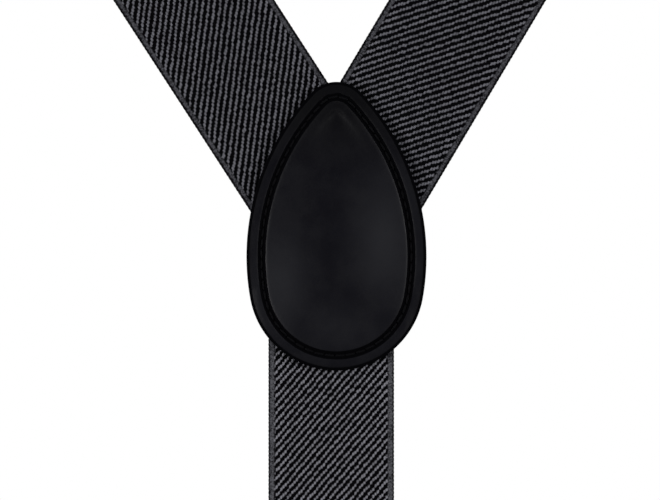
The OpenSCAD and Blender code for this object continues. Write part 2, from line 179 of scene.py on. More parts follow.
room(seen=1.0, dim=0.05, bright=0.7)
soft_light("left_light", (-1.9, -1.1, -0.15), 0.7, 46)
soft_light("right_light", (2.0, -1.0, 0.25), 0.7, 44)
soft_light("top_light", (0.1, -0.9, 1.7), 0.9, 5)
soft_light("front_light", (0.5, 2.0, 0.9), 1.4, 40)
bpy.context.scene.view_settings.view_transform = "Standard"
print("lights", len(bpy.data.lights))

# %% Floor
FLOOR_Z = cad_box[0].z - 0.35
FLOOR_SIDE = 5
floor_mesh = bpy.data.meshes.new("floor")
corners = [(-1, -1), (1, -1), (1, 1), (-1, 1)]
corners = [(x * FLOOR_SIDE, y * FLOOR_SIDE, FLOOR_Z) for x, y in corners]
floor_mesh.from_pydata(corners, [], [(0, 1, 2, 3)])
floor = bpy.data.objects.new("floor", floor_mesh)
bpy.context.scene.collection.objects.link(floor)
print("floor at", round(FLOOR_Z, 3))

# %% [markdown]
# ## Building nodes in a script
# Materials and Geometry Nodes are both graphs. Three small helpers keep them
# readable: one adds a node and sets its plain values, one adds a Math node
# and returns its output, and one opens a named group with named inputs and
# outputs, so that an effect used by several finishes is drawn only once.

# %% Node helpers
def feed(tree, socket, value):
    """Puts a number, or the output of another node, into a socket."""
    if isinstance(value, bpy.types.NodeSocket):
        tree.links.new(value, socket)
    elif value is not None:
        socket.default_value = value


def add(tree, kind, inputs=None, **settings):
    """Adds a node, sets its settings and feeds its inputs by name or number."""
    made = tree.nodes.new(kind)
    for name, value in settings.items():
        setattr(made, name, value)
    for name, value in (inputs or {}).items():
        feed(tree, made.inputs[name], value)
    return made


def calc(tree, operation, a, b=None, c=None):
    """A Math node's output."""
    made = tree.nodes.new("ShaderNodeMath")
    made.operation = operation
    for socket, value in zip(made.inputs, (a, b, c)):
        feed(tree, socket, value)
    return made.outputs[0]


def fade(tree, value, start, end):
    """0 before start and 1 after end, with a smooth step between them."""
    inputs = {"Value": value, "From Min": start, "From Max": end}
    kind = "ShaderNodeMapRange"
    return add(tree, kind, inputs, interpolation_type="SMOOTHSTEP").outputs[0]


def open_group(name, kind, inputs, outputs):
    """A node group with its sockets, each given as (name, type, default)."""
    tree = bpy.data.node_groups.new(name, kind)
    for in_out, sockets in (("INPUT", inputs), ("OUTPUT", outputs)):
        for label, socket_type, default in sockets:
            made = tree.interface.new_socket(
                label, in_out=in_out, socket_type="NodeSocket" + socket_type
            )
            if default is not None:
                made.default_value = default
    start = tree.nodes.new("NodeGroupInput")
    end = tree.nodes.new("NodeGroupOutput")
    return tree, start.outputs, end.inputs


def use_group(tree, group, inputs):
    """Places a shader group in a material and feeds it."""
    made = tree.nodes.new("ShaderNodeGroup")
    made.node_tree = group
    for name, value in inputs.items():
        feed(tree, made.inputs[name], value)
    return made.outputs


def new_finish(name, **values):
    """A material whose Principled sockets are set to plain values."""
    finish = bpy.data.materials.new(name)
    finish.use_nodes = True
    shader = finish.node_tree.nodes["Principled BSDF"]
    for label, value in values.items():
        shader.inputs[label.replace("_", " ")].default_value = value
    return finish, finish.node_tree, shader


print("helpers ready")

# %% [markdown]
# ## The colours of the webbing
# Elastic webbing is a steep twill: fat ridges of grey yarn cross the strap at
# about 40 degrees to its length, with deep gaps between them that are painted
# near-black as painted shade, and each ridge is broken into short floats, one
# for every yarn that runs along the strap.
# A texture image would blur, so the weave is worked out from the strap's own
# UV map, which holds metres across and metres along. One group gives the
# ridge, the yarn and a tone for each float, and every twill finish shares it.

# %% Twill group
TWILL_SLOPE = 1 / math.tan(40.5 * DEGREE)
FRONT_PITCH = 2.356 * MM
BACK_PITCH = 2.197 * MM
YARN = 0.6 * MM
FRONT_W = 36 * MM
BACK_W = 33.4 * MM
FRONT_BAND = 1.75 * MM
BACK_BAND = 1.8 * MM
FRONT_HALF_TWILL = FRONT_W / 2 - FRONT_BAND
BACK_HALF_TWILL = BACK_W / 2 - BACK_BAND

twill_weave, given, gives = open_group(
    "Twill weave",
    "ShaderNodeTree",
    [
        ("Weave", "Vector", None),
        ("Pitch", "Float", FRONT_PITCH),
        ("Slope", "Float", TWILL_SLOPE),
        ("Yarn", "Float", YARN),
        ("Half width", "Float", FRONT_HALF_TWILL),
    ],
    [("Ridge", "Float", None), ("Float", "Float", None), ("Tone", "Float", None)],
)
split = add(twill_weave, "ShaderNodeSeparateXYZ", {0: given["Weave"]}).outputs
wander = add(
    twill_weave,
    "ShaderNodeTexNoise",
    {"Vector": given["Weave"], "Scale": 900.0, "Detail": 2.0},
).outputs[0]
column = calc(twill_weave, "DIVIDE", split["X"], given["Yarn"])
column = calc(twill_weave, "MULTIPLY_ADD", wander, 0.5, column)
yarn_number = calc(twill_weave, "ROUND", column)
off_yarn = calc(twill_weave, "SUBTRACT", column, yarn_number)
step_back = calc(twill_weave, "MULTIPLY", off_yarn, given["Yarn"])
stepped = calc(twill_weave, "MULTIPLY_ADD", step_back, -0.65, split["X"])
climb = calc(twill_weave, "MULTIPLY", stepped, given["Slope"])
phase = calc(twill_weave, "SUBTRACT", split["Y"], climb)
phase = calc(twill_weave, "DIVIDE", phase, given["Pitch"])
spot = add(
    twill_weave,
    "ShaderNodeCombineXYZ",
    {0: yarn_number, 1: calc(twill_weave, "ROUND", phase)},
).outputs[0]
chance = add(twill_weave, "ShaderNodeTexWhiteNoise", {"Vector": spot}).outputs
shift = add(twill_weave, "ShaderNodeSeparateXYZ", {0: chance[1]}).outputs["Y"]
shaky = calc(twill_weave, "MULTIPLY_ADD", shift, 0.17, phase)
shaky = calc(twill_weave, "MULTIPLY_ADD", wander, 0.16, shaky)
shaky = calc(twill_weave, "SUBTRACT", shaky, 0.165)
ridge = fade(twill_weave, calc(twill_weave, "PINGPONG", shaky, 0.5), 0.26, 0.08)
from_edge = calc(twill_weave, "ABSOLUTE", split["X"])
from_edge = calc(twill_weave, "SUBTRACT", given["Half width"], from_edge)
from_edge = calc(twill_weave, "DIVIDE", from_edge, given["Yarn"])
inside = fade(twill_weave, from_edge, 2.0, 5.0)
from_edge = calc(twill_weave, "MULTIPLY_ADD", wander, 3.2, from_edge)
ridge = calc(twill_weave, "MULTIPLY", ridge, fade(twill_weave, from_edge, 0.9, 2.1))
tone = calc(twill_weave, "MULTIPLY_ADD", chance[0], 0.55, 0.7)
tone = calc(twill_weave, "MULTIPLY", tone, calc(twill_weave, "MULTIPLY_ADD", inside, -0.35, 1.35))
off_yarn = calc(twill_weave, "ABSOLUTE", off_yarn)
feed(twill_weave, gives["Ridge"], ridge)
feed(twill_weave, gives["Float"], fade(twill_weave, off_yarn, 0.5, 0.2))
feed(twill_weave, gives["Tone"], tone)
print("twill group", len(twill_weave.nodes), "nodes")

# %% Twill finishes
FRONT_RIDGE_COLOUR = (0.128, 0.127, 0.145, 1)
BACK_RIDGE_COLOUR = (0.188, 0.186, 0.209, 1)
# Painted shade: the near-black of the deep, shadowed gaps between the ridges.
GAP_SHADE_COLOUR = (0.0008, 0.0008, 0.0012, 1)


def twill_light(tree, weave, pitch, half_width):
    """How light the twill is at each point."""
    sockets = {"Weave": weave, "Pitch": pitch, "Half width": half_width}
    made = use_group(tree, twill_weave, sockets)
    light = calc(tree, "MULTIPLY_ADD", made["Float"], 0.45, 0.55)
    light = calc(tree, "MULTIPLY", light, made["Ridge"])
    return calc(tree, "MULTIPLY", light, made["Tone"]), made


def twill_finish(name, pitch, half_width, colour):
    """The ribbed middle of a strap, with its ridges at a pitch along it."""
    finish, tree, shader = new_finish(
        name, Roughness=0.9, Specular_IOR_Level=0.03
    )
    weave = add(tree, "ShaderNodeUVMap", uv_map="weave").outputs[0]
    light, made = twill_light(tree, weave, pitch, half_width)
    mix = add(tree, "ShaderNodeMix", {0: light}, data_type="RGBA")
    # The gaps between the ridges take this painted shade.
    mix.inputs[6].default_value = GAP_SHADE_COLOUR
    mix.inputs[7].default_value = colour
    feed(tree, shader.inputs["Base Color"], mix.outputs[2])
    height = calc(tree, "MULTIPLY", made["Float"], made["Ridge"])
    bump = add(tree, "ShaderNodeBump", {"Height": height, "Strength": 0.7})
    bump.inputs["Distance"].default_value = 0.12 * MM
    feed(tree, shader.inputs["Normal"], bump.outputs[0])
    return finish


front_twill = twill_finish(
    "grey_twill_front", FRONT_PITCH, FRONT_HALF_TWILL, FRONT_RIDGE_COLOUR
)
back_twill = twill_finish(
    "grey_twill_back", BACK_PITCH, BACK_HALF_TWILL, BACK_RIDGE_COLOUR
)
print("finishes", front_twill.name, back_twill.name)

# %% [markdown]
# ## The selvedge
# Along both edges the weft turns back, and the webbing becomes a narrow band
# of short ribs square to the edge, thinner and duller than the twill, with
# painted shade as a dark line at the very edge, where it rounds over. The last
# floats of the ridges hook raggedly into the band, so its finish lays the ribs
# over a little more of the same twill. One group serves both edges of all three straps.

# %% Selvedge group and finishes
# Shares of the band's width at which the painted shade of the rounded edge starts
FRONT_EDGE_FROM = 0.8
BACK_EDGE_FROM = 0.92

selvedge_ribs, given, gives = open_group(
    "Selvedge ribs",
    "ShaderNodeTree",
    [
        ("Weave", "Vector", None),
        ("Pitch", "Float", FRONT_PITCH / 2),
        ("Band", "Float", FRONT_BAND),
        ("Half width", "Float", FRONT_HALF_TWILL),
        ("Edge from", "Float", FRONT_EDGE_FROM),
    ],
    [("Rib", "Float", None), ("Edge", "Float", None), ("Tone", "Float", None)],
)
split = add(selvedge_ribs, "ShaderNodeSeparateXYZ", {0: given["Weave"]}).outputs
wander = add(
    selvedge_ribs,
    "ShaderNodeTexNoise",
    {"Vector": given["Weave"], "Scale": 1100.0, "Detail": 2.0},
).outputs[0]
patchy = add(
    selvedge_ribs,
    "ShaderNodeTexNoise",
    {"Vector": given["Weave"], "Scale": 240.0, "Detail": 1.0},
).outputs[0]
fuzz = add(
    selvedge_ribs,
    "ShaderNodeTexNoise",
    {"Vector": given["Weave"], "Scale": 2400.0, "Detail": 2.0},
).outputs[0]
rib = calc(selvedge_ribs, "DIVIDE", split["Y"], given["Pitch"])
rib = calc(selvedge_ribs, "MULTIPLY_ADD", wander, 2.0, rib)
off_rib = calc(selvedge_ribs, "PINGPONG", rib, 0.5)
share = calc(selvedge_ribs, "ABSOLUTE", split["X"])
share = calc(selvedge_ribs, "SUBTRACT", share, given["Half width"])
share = calc(selvedge_ribs, "DIVIDE", share, given["Band"])
share = calc(selvedge_ribs, "MULTIPLY_ADD", wander, 0.5, share)
inner_line = fade(selvedge_ribs, share, 0.3, 0.55)
tone = calc(selvedge_ribs, "MULTIPLY_ADD", patchy, 1.5, -0.5)
tone = calc(selvedge_ribs, "MULTIPLY_ADD", fade(selvedge_ribs, fuzz, 0.3, 0.65), 1.1, tone)
feed(selvedge_ribs, gives["Rib"], fade(selvedge_ribs, off_rib, 0.5, 0.12))
# Edge: where the painted shade of the rounded edge falls.
edge_to = calc(selvedge_ribs, "ADD", given["Edge from"], 0.22)
feed(selvedge_ribs, gives["Edge"], fade(selvedge_ribs, share, given["Edge from"], edge_to))
feed(selvedge_ribs, gives["Tone"], calc(selvedge_ribs, "MULTIPLY", tone, inner_line))

FRONT_EDGE_COLOUR = (0.066, 0.066, 0.075, 1)
BACK_EDGE_COLOUR = (0.084, 0.084, 0.094, 1)


def selvedge_finish(name, pitch, band, half_width, edge_from, colour, ridge_colour):
    """The ribbed edge of a strap."""
    finish, tree, shader = new_finish(
        name, Roughness=0.9, Specular_IOR_Level=0.03
    )
    weave = add(tree, "ShaderNodeUVMap", uv_map="weave").outputs[0]
    sockets = {"Weave": weave, "Pitch": pitch / 2, "Band": band, "Half width": half_width}
    sockets["Edge from"] = edge_from
    made = use_group(tree, selvedge_ribs, sockets)
    light = calc(tree, "MULTIPLY_ADD", made["Rib"], 0.5, 0.5)
    light = calc(tree, "MULTIPLY", light, made["Tone"])
    # Painted shade: the rounded edge is darkened towards the gap colour.
    rest = calc(tree, "MULTIPLY_ADD", made["Edge"], -0.95, 1.0)
    light = calc(tree, "MULTIPLY", light, rest)
    mix = add(tree, "ShaderNodeMix", {0: light}, data_type="RGBA")
    mix.inputs[6].default_value = GAP_SHADE_COLOUR
    mix.inputs[7].default_value = colour
    hooks, twill = twill_light(tree, weave, pitch, half_width)
    mixed = add(tree, "ShaderNodeMix", {0: hooks, 6: mix.outputs[2]}, data_type="RGBA")
    mixed.inputs[7].default_value = ridge_colour
    feed(tree, shader.inputs["Base Color"], mixed.outputs[2])
    bump = add(tree, "ShaderNodeBump", {"Height": made["Tone"], "Strength": 0.6})
    bump.inputs["Distance"].default_value = 0.1 * MM
    feed(tree, shader.inputs["Normal"], bump.outputs[0])
    return finish


front_selvedge = selvedge_finish(
    "grey_selvedge_front",
    FRONT_PITCH,
    FRONT_BAND,
    FRONT_HALF_TWILL,
    FRONT_EDGE_FROM,
    FRONT_EDGE_COLOUR,
    FRONT_RIDGE_COLOUR,
)
back_selvedge = selvedge_finish(
    "grey_selvedge_back",
    BACK_PITCH,
    BACK_BAND,
    BACK_HALF_TWILL,
    BACK_EDGE_FROM,
    BACK_EDGE_COLOUR,
    BACK_RIDGE_COLOUR,
)
print("selvedge group", len(selvedge_ribs.nodes), "nodes")

# %% [markdown]
# ## The way the straps lie
# A strap is drawn flat first: v is the distance across it and s the distance
# along it. Then it is laid on the wearer's outline, which is a path seen from
# the side: up the back, over the shoulder, down the chest, round the bar of
# the clip and back up to the adjuster. A curve with a bevel could follow the
# same path, but a strap also leans and turns sideways on the shoulder, and
# arithmetic keeps its width true through that turn.

# %% Sizes of the webbing
WEB_T = 1.4 * MM
BACKING_T = 1.2 * MM
MID_Y = -BACKING_T - WEB_T / 2
CROSS_Z = 16.8 * MM
BACK_X = -1.4 * MM
FRONT_X = 120 * MM
BUTT_Z = 2 * MM
STRAIGHT = 98 * MM
LEAN = {-1: 33 * DEGREE, 1: 30.8 * DEGREE}
SIDES = {"left": -1, "right": 1}
BACK_RISE = 110 * MM
BACK_BEND = 95 * MM
SHOULDER_BEND = 55 * MM
CHEST_BEND = 220 * MM
BAR_Z = -222 * MM
ADJUSTER_BAR_Z = -127 * MM
CLIP_LEG = 12 * MM
CLIP_LOOP_R = 2.8 * MM
SEWN_LOOP_R = 1.9 * MM
FOLD_BEND = 8 * MM
FOLD_IN = 1.5 * MM

# %% Paths seen from the side
def arc(start, radius, turn_from, turn_to):
    """Points on a bend that starts at a point, with its lean in degrees."""
    lean = np.radians(np.linspace(turn_from, turn_to, 2 + int(abs(turn_to - turn_from) * 2)))
    y = start[0] + radius * (math.cos(lean[0]) - np.cos(lean))
    z = start[1] + radius * (np.sin(lean) - math.sin(lean[0]))
    return list(zip(y, z))


def fold_back(radius, top):
    """From the far side of a bar back to lie against the strap's own face."""
    inner = -radius + FOLD_IN
    turn = np.linspace(0, math.pi, 30)
    y = radius + (inner - radius) * (1 - np.cos(turn)) / 2
    return list(zip(y, FOLD_BEND * turn / math.pi)) + [(inner, top)]


def round_bar(radius):
    """Under a bar at the origin, from its outer side to its inner side."""
    turn = np.linspace(math.pi, 2 * math.pi, 60)
    return list(zip(radius * np.cos(turn), radius * np.sin(turn)))


def measured(points):
    """A path with its length and its heading at every point."""
    line = np.array(points)
    keep = np.r_[True, np.linalg.norm(np.diff(line, axis=0), axis=1) > 1e-9]
    line = line[keep]
    step = np.diff(line, axis=0)
    length = np.r_[0, np.cumsum(np.linalg.norm(step, axis=1))]
    heading = np.gradient(line, length, axis=0)
    heading /= np.linalg.norm(heading, axis=1)[:, None]
    return {"line": line, "length": length, "heading": heading}


def along_path(path, u):
    """Place (y, z) and heading (y, z) at distances along a path."""
    place = [np.interp(u, path["length"], path["line"][:, i]) for i in (0, 1)]
    heading = np.array([np.interp(u, path["length"], path["heading"][:, i]) for i in (0, 1)])
    return place, heading / np.linalg.norm(heading, axis=0)


over_back = arc((MID_Y, BACK_RISE), BACK_BEND, 0, 70)
over_shoulder = arc(over_back[-1], SHOULDER_BEND, 70, 140)
over_chest = arc(over_shoulder[-1], CHEST_BEND, 140, 180)
chest = over_chest[-1]
front_bar = (chest[0] - CLIP_LOOP_R, BAR_Z)
return_y = chest[0] - 2 * CLIP_LOOP_R
adjuster_bar = (return_y + SEWN_LOOP_R, ADJUSTER_BAR_Z)
painted_sheen_colour = [(MID_Y, 0), (MID_Y, 60 * MM)] + over_back + over_shoulder + over_chest
hanging = [(chest[0], BAR_Z)]
clip_turn = [(front_bar[0] - y, front_bar[1] + z) for y, z in round_bar(CLIP_LOOP_R)]
adjuster_turn = [
    (adjuster_bar[0] + y, adjuster_bar[1] - z)
    for y, z in round_bar(SEWN_LOOP_R) + fold_back(SEWN_LOOP_R, 16 * MM)
]
front_path = measured(painted_sheen_colour + hanging + clip_turn + adjuster_turn)
U_CHEST = measured(painted_sheen_colour)["length"][-1]
U_CLIP_LOOP_END = U_CHEST + chest[1] - BAR_Z + math.pi * CLIP_LOOP_R + CLIP_LEG
print("front strap", round(front_path["length"][-1], 4), "m, chest at", np.round(chest, 5))

# %% How a front strap turns sideways
def turn_length(side):
    """Length over which a strap turns from its lean to upright."""
    a = LEAN[side]
    return (FRONT_X - STRAIGHT * math.sin(a)) * a / (1 - math.cos(a))


def front_lay(side, s, v):
    """Points, outward normals and across directions of a front strap."""
    a, length = LEAN[side], turn_length(side)
    radius = length / a
    turned = np.clip((s - STRAIGHT) / length, 0, 1)
    lean = a * (1 - turned)
    straight = np.minimum(s, STRAIGHT)
    x = straight * math.sin(a) + radius * (np.cos(lean) - math.cos(a))
    u = straight * math.cos(a) + radius * (math.sin(a) - np.sin(lean))
    u = CROSS_Z + u + np.maximum(0, s - STRAIGHT - length)
    x = side * x + v * np.cos(lean)
    u = u - side * v * np.sin(lean)
    place, heading = along_path(front_path, u)
    outward = np.stack([0 * x, -heading[1], heading[0]], axis=1)
    slope = -side * np.sin(lean)
    across = np.stack([np.cos(lean), slope * heading[0], slope * heading[1]], axis=1)
    return np.stack([x, place[0], place[1]], axis=1), outward, across


def s_at(side, u):
    """Distance along a front strap where it is past its turn and u up."""
    a, length = LEAN[side], turn_length(side)
    rise = STRAIGHT * math.cos(a) + length / a * math.sin(a)
    return u - CROSS_Z - rise + STRAIGHT + length


back_loop = [
    (MID_Y + CLIP_LOOP_R + y, BAR_Z + z)
    for y, z in round_bar(CLIP_LOOP_R) + fold_back(CLIP_LOOP_R, 26 * MM)
]
back_path = measured(back_loop[::-1] + [(MID_Y, BUTT_Z)])
BACK_S_TOP = BUTT_Z - 0.3 * MM


def back_lay(s, v):
    """Points, outward normals and across directions of the back strap."""
    u = s + back_path["length"][-1] - BUTT_Z
    place, heading = along_path(back_path, u)
    outward = np.stack([0 * s, -heading[1], heading[0]], axis=1)
    across = np.stack([0 * s + 1, 0 * s, 0 * s], axis=1)
    return np.stack([BACK_X + v, place[0], place[1]], axis=1), outward, across


print("left strap reaches the chest at", round(s_at(-1, U_CHEST), 4))

# %% [markdown]
# ## Twill in relief
# The ridges stand about a quarter of a millimetre proud, enough to catch
# light and to show along the strap's edge, so they are real shape and not
# only colour. They follow one rule everywhere, which is what Geometry Nodes
# are for: the tree reads the distances across and along that each vertex
# carries and moves it outward by the height that the rule gives there.

# %% The relief tree
twill_relief, given, gives = open_group(
    "Twill relief",
    "GeometryNodeTree",
    [
        ("Webbing", "Geometry", None),
        ("Pitch", "Float", FRONT_PITCH),
        ("Slope", "Float", TWILL_SLOPE),
        ("Ridge height", "Float", 0.27 * MM),
        ("Rib height", "Float", 0.1 * MM),
        ("Twill", "Material", None),
        ("Selvedge", "Material", None),
    ],
    [("Webbing", "Geometry", None)],
)


def carried(tree, name, data_type="FLOAT"):
    """The value that each vertex carries under a name."""
    kind = "GeometryNodeInputNamedAttribute"
    return add(tree, kind, {"Name": name}, data_type=data_type).outputs[0]


climb = calc(twill_relief, "MULTIPLY", carried(twill_relief, "across"), given["Slope"])
phase = calc(twill_relief, "SUBTRACT", carried(twill_relief, "along"), climb)
phase = calc(twill_relief, "DIVIDE", phase, given["Pitch"])
ridge = calc(twill_relief, "COSINE", calc(twill_relief, "MULTIPLY", phase, math.pi))
ridge = calc(twill_relief, "POWER", calc(twill_relief, "ABSOLUTE", ridge), 0.7)
ridge = calc(twill_relief, "MULTIPLY", ridge, given["Ridge height"])
turns = calc(twill_relief, "DIVIDE", carried(twill_relief, "along"), given["Pitch"])
rib = calc(twill_relief, "COSINE", calc(twill_relief, "MULTIPLY", turns, 4 * math.pi))
rib = calc(twill_relief, "MULTIPLY_ADD", rib, 0.5, 0.5)
rib = calc(twill_relief, "MULTIPLY", rib, given["Rib height"])
banded = carried(twill_relief, "banded")
less_ridge = calc(twill_relief, "SUBTRACT", 1.0, banded)
height = calc(twill_relief, "MULTIPLY", rib, banded)
height = calc(twill_relief, "MULTIPLY_ADD", ridge, less_ridge, height)
raised = add(
    twill_relief,
    "ShaderNodeVectorMath",
    {0: carried(twill_relief, "outward", "FLOAT_VECTOR"), "Scale": height},
    operation="SCALE",
).outputs[0]
moved = add(
    twill_relief,
    "GeometryNodeSetPosition",
    {"Geometry": given["Webbing"], "Offset": raised},
).outputs[0]
whole = add(twill_relief, "GeometryNodeRealizeInstances", {"Geometry": moved}).outputs[0]
middle = add(
    twill_relief,
    "GeometryNodeSetMaterial",
    {"Geometry": whole, "Material": given["Twill"]},
).outputs[0]
edged = add(
    twill_relief,
    "GeometryNodeSetMaterial",
    {
        "Geometry": middle,
        "Selection": carried(twill_relief, "edge_face", "BOOLEAN"),
        "Material": given["Selvedge"],
    },
).outputs[0]
feed(twill_relief, gives["Webbing"], edged)
print("relief tree", len(twill_relief.nodes), "nodes")

# %% Run a tree on a piece
def run_tree(obj, tree, values):
    """Runs a Geometry Nodes tree on an object and keeps the plain result."""
    modifier = obj.modifiers.new(tree.name, "NODES")
    modifier.node_group = tree
    for item in tree.interface.items_tree:
        if item.in_out == "INPUT" and item.name in values:
            modifier[item.identifier] = values[item.name]
    graph = bpy.context.evaluated_depsgraph_get()
    result = bpy.data.meshes.new_from_object(
        obj.evaluated_get(graph), preserve_all_data_layers=True, depsgraph=graph
    )
    obj.modifiers.remove(modifier)
    obj.data = result
    result.name = obj.name
    return obj


def add_object(name, mesh):
    """A new object at the origin, with its place in its mesh."""
    obj = bpy.data.objects.new(name, mesh)
    bpy.context.scene.collection.objects.link(obj)
    return obj


print("trees ready")

# %% [markdown]
# ## A length of webbing
# The flat webbing is a tube of faces: the outer face, a rounded edge, the
# inner face and the other edge. The rows of vertices follow the ridges
# instead of lying square, so six rows are enough to round each ridge, where a
# square grid would need far more to avoid stairs. Cuts are made while it is
# flat, which keeps them exact, and each cut is closed with a cap.

# %% Flat webbing
ROWS_PER_RIDGE = 6
COLUMNS = 18
CORE_HALF_T = 0.45 * MM
EDGE_HALF_T = 0.56 * MM
EDGE_TURN = np.radians([70, 50, 30, 0, -30, -50, -70])
WANDER = 0.06 * MM


def cross_section(width, band):
    """One row: outer face, edge, inner face and edge, as (v, t, lean in s)."""
    inner = width / 2 - band
    v = np.linspace(-inner, inner, COLUMNS + 1)
    t = np.full(v.shape, CORE_HALF_T)
    edge_v = inner + band * np.cos(EDGE_TURN) ** 0.5
    edge_t = EDGE_HALF_T * np.sin(EDGE_TURN)
    ring_v = np.concatenate([v, edge_v, v[::-1], -edge_v])
    ring_t = np.concatenate([t, edge_t, -t, -edge_t])
    return ring_v, ring_t, np.clip(ring_v, -inner, inner)


def flat_webbing(width, band, pitch, s_from, s_to, cuts):
    """A bmesh in flat coordinates (v, s, t), cut by planes and capped."""
    ring_v, ring_t, ring_lean = cross_section(width, band)
    reach = TWILL_SLOPE * width / 2
    step = pitch / ROWS_PER_RIDGE
    first = math.floor((s_from - reach) / step) - 1
    last = math.ceil((s_to + reach) / step) + 1
    rows, ring = last - first + 1, len(ring_v)
    s = TWILL_SLOPE * ring_lean[None, :] + step * np.arange(first, last + 1)[:, None]
    v, t = np.broadcast_to(ring_v, s.shape), np.broadcast_to(ring_t, s.shape)
    points = np.stack([v, s, t], axis=2).reshape(-1, 3)
    i, j = np.meshgrid(np.arange(rows - 1), np.arange(ring), indexing="ij")
    a, b = i * ring + j, i * ring + (j + 1) % ring
    faces = np.stack([a, a + ring, b + ring, b], axis=2).reshape(-1, 4)
    mesh = bpy.data.meshes.new("flat")
    mesh.from_pydata(points.tolist(), [], faces.tolist())
    bm = bmesh.new()
    bm.from_mesh(mesh)
    bpy.data.meshes.remove(mesh)
    ends = [((0, 1, 0), s_from), ((0, -1, 0), -s_to)]
    for normal, offset in list(cuts) + ends:
        place = Vector(normal) * offset
        geometry = bm.verts[:] + bm.edges[:] + bm.faces[:]
        cut = bmesh.ops.bisect_plane(
            bm, geom=geometry, dist=1e-8, plane_co=place, plane_no=normal, clear_inner=True
        )["geom_cut"]
        edges = [e for e in cut if isinstance(e, bmesh.types.BMEdge)]
        edges = [e for e in edges if e.is_boundary]
        for cap in bmesh.ops.holes_fill(bm, edges=edges)["faces"]:
            for edge in cap.edges:
                edge.smooth = False
    bmesh.ops.recalc_face_normals(bm, faces=bm.faces)
    return bm


def wander_along(s, v, width):
    """A slow, small wander of the ridges along the strap, none at its edges."""
    waves = [(7.1, 11.3, 0.4, 0.5), (-9.7, 8.3, 1.9, 0.4), (5.3, -6.1, 3.1, 0.3)]
    total = 0 * s
    for across, along, start, share in waves:
        angle = 2 * math.pi * (v / (across * MM) + s / (along * MM)) + start
        total = total + share * np.sin(angle)
    return WANDER * total * np.clip(1 - (2 * v / width) ** 4, 0, 1)


# %% Webbing piece
def webbing(name, kind, s_from, s_to, lay, cuts=()):
    """A finished length of webbing: flat, laid in place and given its relief."""
    width, band, pitch, twill, selvedge = kind
    bm = flat_webbing(width, band, pitch, s_from, s_to, cuts)
    mesh = bpy.data.meshes.new(name)
    bm.to_mesh(mesh)
    bm.free()
    flat = np.zeros(len(mesh.vertices) * 3)
    mesh.vertices.foreach_get("co", flat)
    v, s, t = flat.reshape(-1, 3).T
    inner = width / 2 - band
    in_band = np.abs(v) > inner + 1e-6
    up = np.where(in_band, np.clip(t / EDGE_HALF_T, -1, 1), np.sign(t))
    aside = np.sign(v) * np.sqrt(np.maximum(0, 1 - up * up))
    place, outward, across = lay(s + wander_along(s, v, width), v)
    place = place + outward * t[:, None]
    normal = outward * up[:, None] + across * aside[:, None]
    banded = np.where(in_band, 1.0, np.where(np.abs(v) > inner - 1e-6, 0.5, 0.0))
    mesh.vertices.foreach_set("co", place.ravel())
    for label, values in (("across", v), ("along", s), ("banded", banded)):
        mesh.attributes.new(label, "FLOAT", "POINT").data.foreach_set("value", values)
    mesh.attributes.new("outward", "FLOAT_VECTOR", "POINT").data.foreach_set(
        "vector", normal.ravel()
    )
    corner = np.zeros(len(mesh.loops), int)
    mesh.loops.foreach_get("vertex_index", corner)
    start, count = np.zeros(len(mesh.polygons), int), np.zeros(len(mesh.polygons), int)
    mesh.polygons.foreach_get("loop_start", start)
    mesh.polygons.foreach_get("loop_total", count)
    nearest = np.minimum.reduceat(np.abs(v[corner]), start)
    edge_face = (nearest > inner - 1e-6) & (count < 12)
    mesh.attributes.new("edge_face", "BOOLEAN", "FACE").data.foreach_set("value", edge_face)
    layer = mesh.uv_layers.new(name="weave")
    layer.data.foreach_set("uv", np.stack([v[corner], s[corner]], axis=1).ravel())
    mesh.polygons.foreach_set("use_smooth", np.ones(len(mesh.polygons), bool))
    piece = add_object(name, mesh)
    run_tree(piece, twill_relief, {"Pitch": pitch, "Twill": twill, "Selvedge": selvedge})
    for label in ("across", "along", "banded", "outward", "edge_face"):
        piece.data.attributes.remove(piece.data.attributes[label])
    triangles = sum(len(p.vertices) - 2 for p in piece.data.polygons)
    print(name, triangles, "triangles")
    return piece


FRONT = (FRONT_W, FRONT_BAND, FRONT_PITCH, front_twill, front_selvedge)
BACK = (BACK_W, BACK_BAND, BACK_PITCH, back_twill, back_selvedge)
print("kinds of webbing", round(FRONT_W / MM, 1), "and", round(BACK_W / MM, 1), "mm wide")

# %% [markdown]
# ## The two front straps
# Each one is a single length of webbing on the real thing. Here it is cut
# where a joint lets it move: the part on the shoulder stays with the yoke,
# the part on the chest stretches, and below it the webbing runs through the
# adjuster, round the bar of the clip and back up to the adjuster. A piece
# that crosses a joint blends from one body to the next.

# %% Front straps
def shoulder_cuts(side):
    """Inside the yoke a strap ends on the centre line and above the back strap."""
    a = LEAN[side]
    centre = (side * math.cos(a), math.sin(a), 0)
    butt = (-side * math.sin(a), math.cos(a), 0)
    return [(centre, 0.12 * MM), (butt, BUTT_Z - CROSS_Z)]


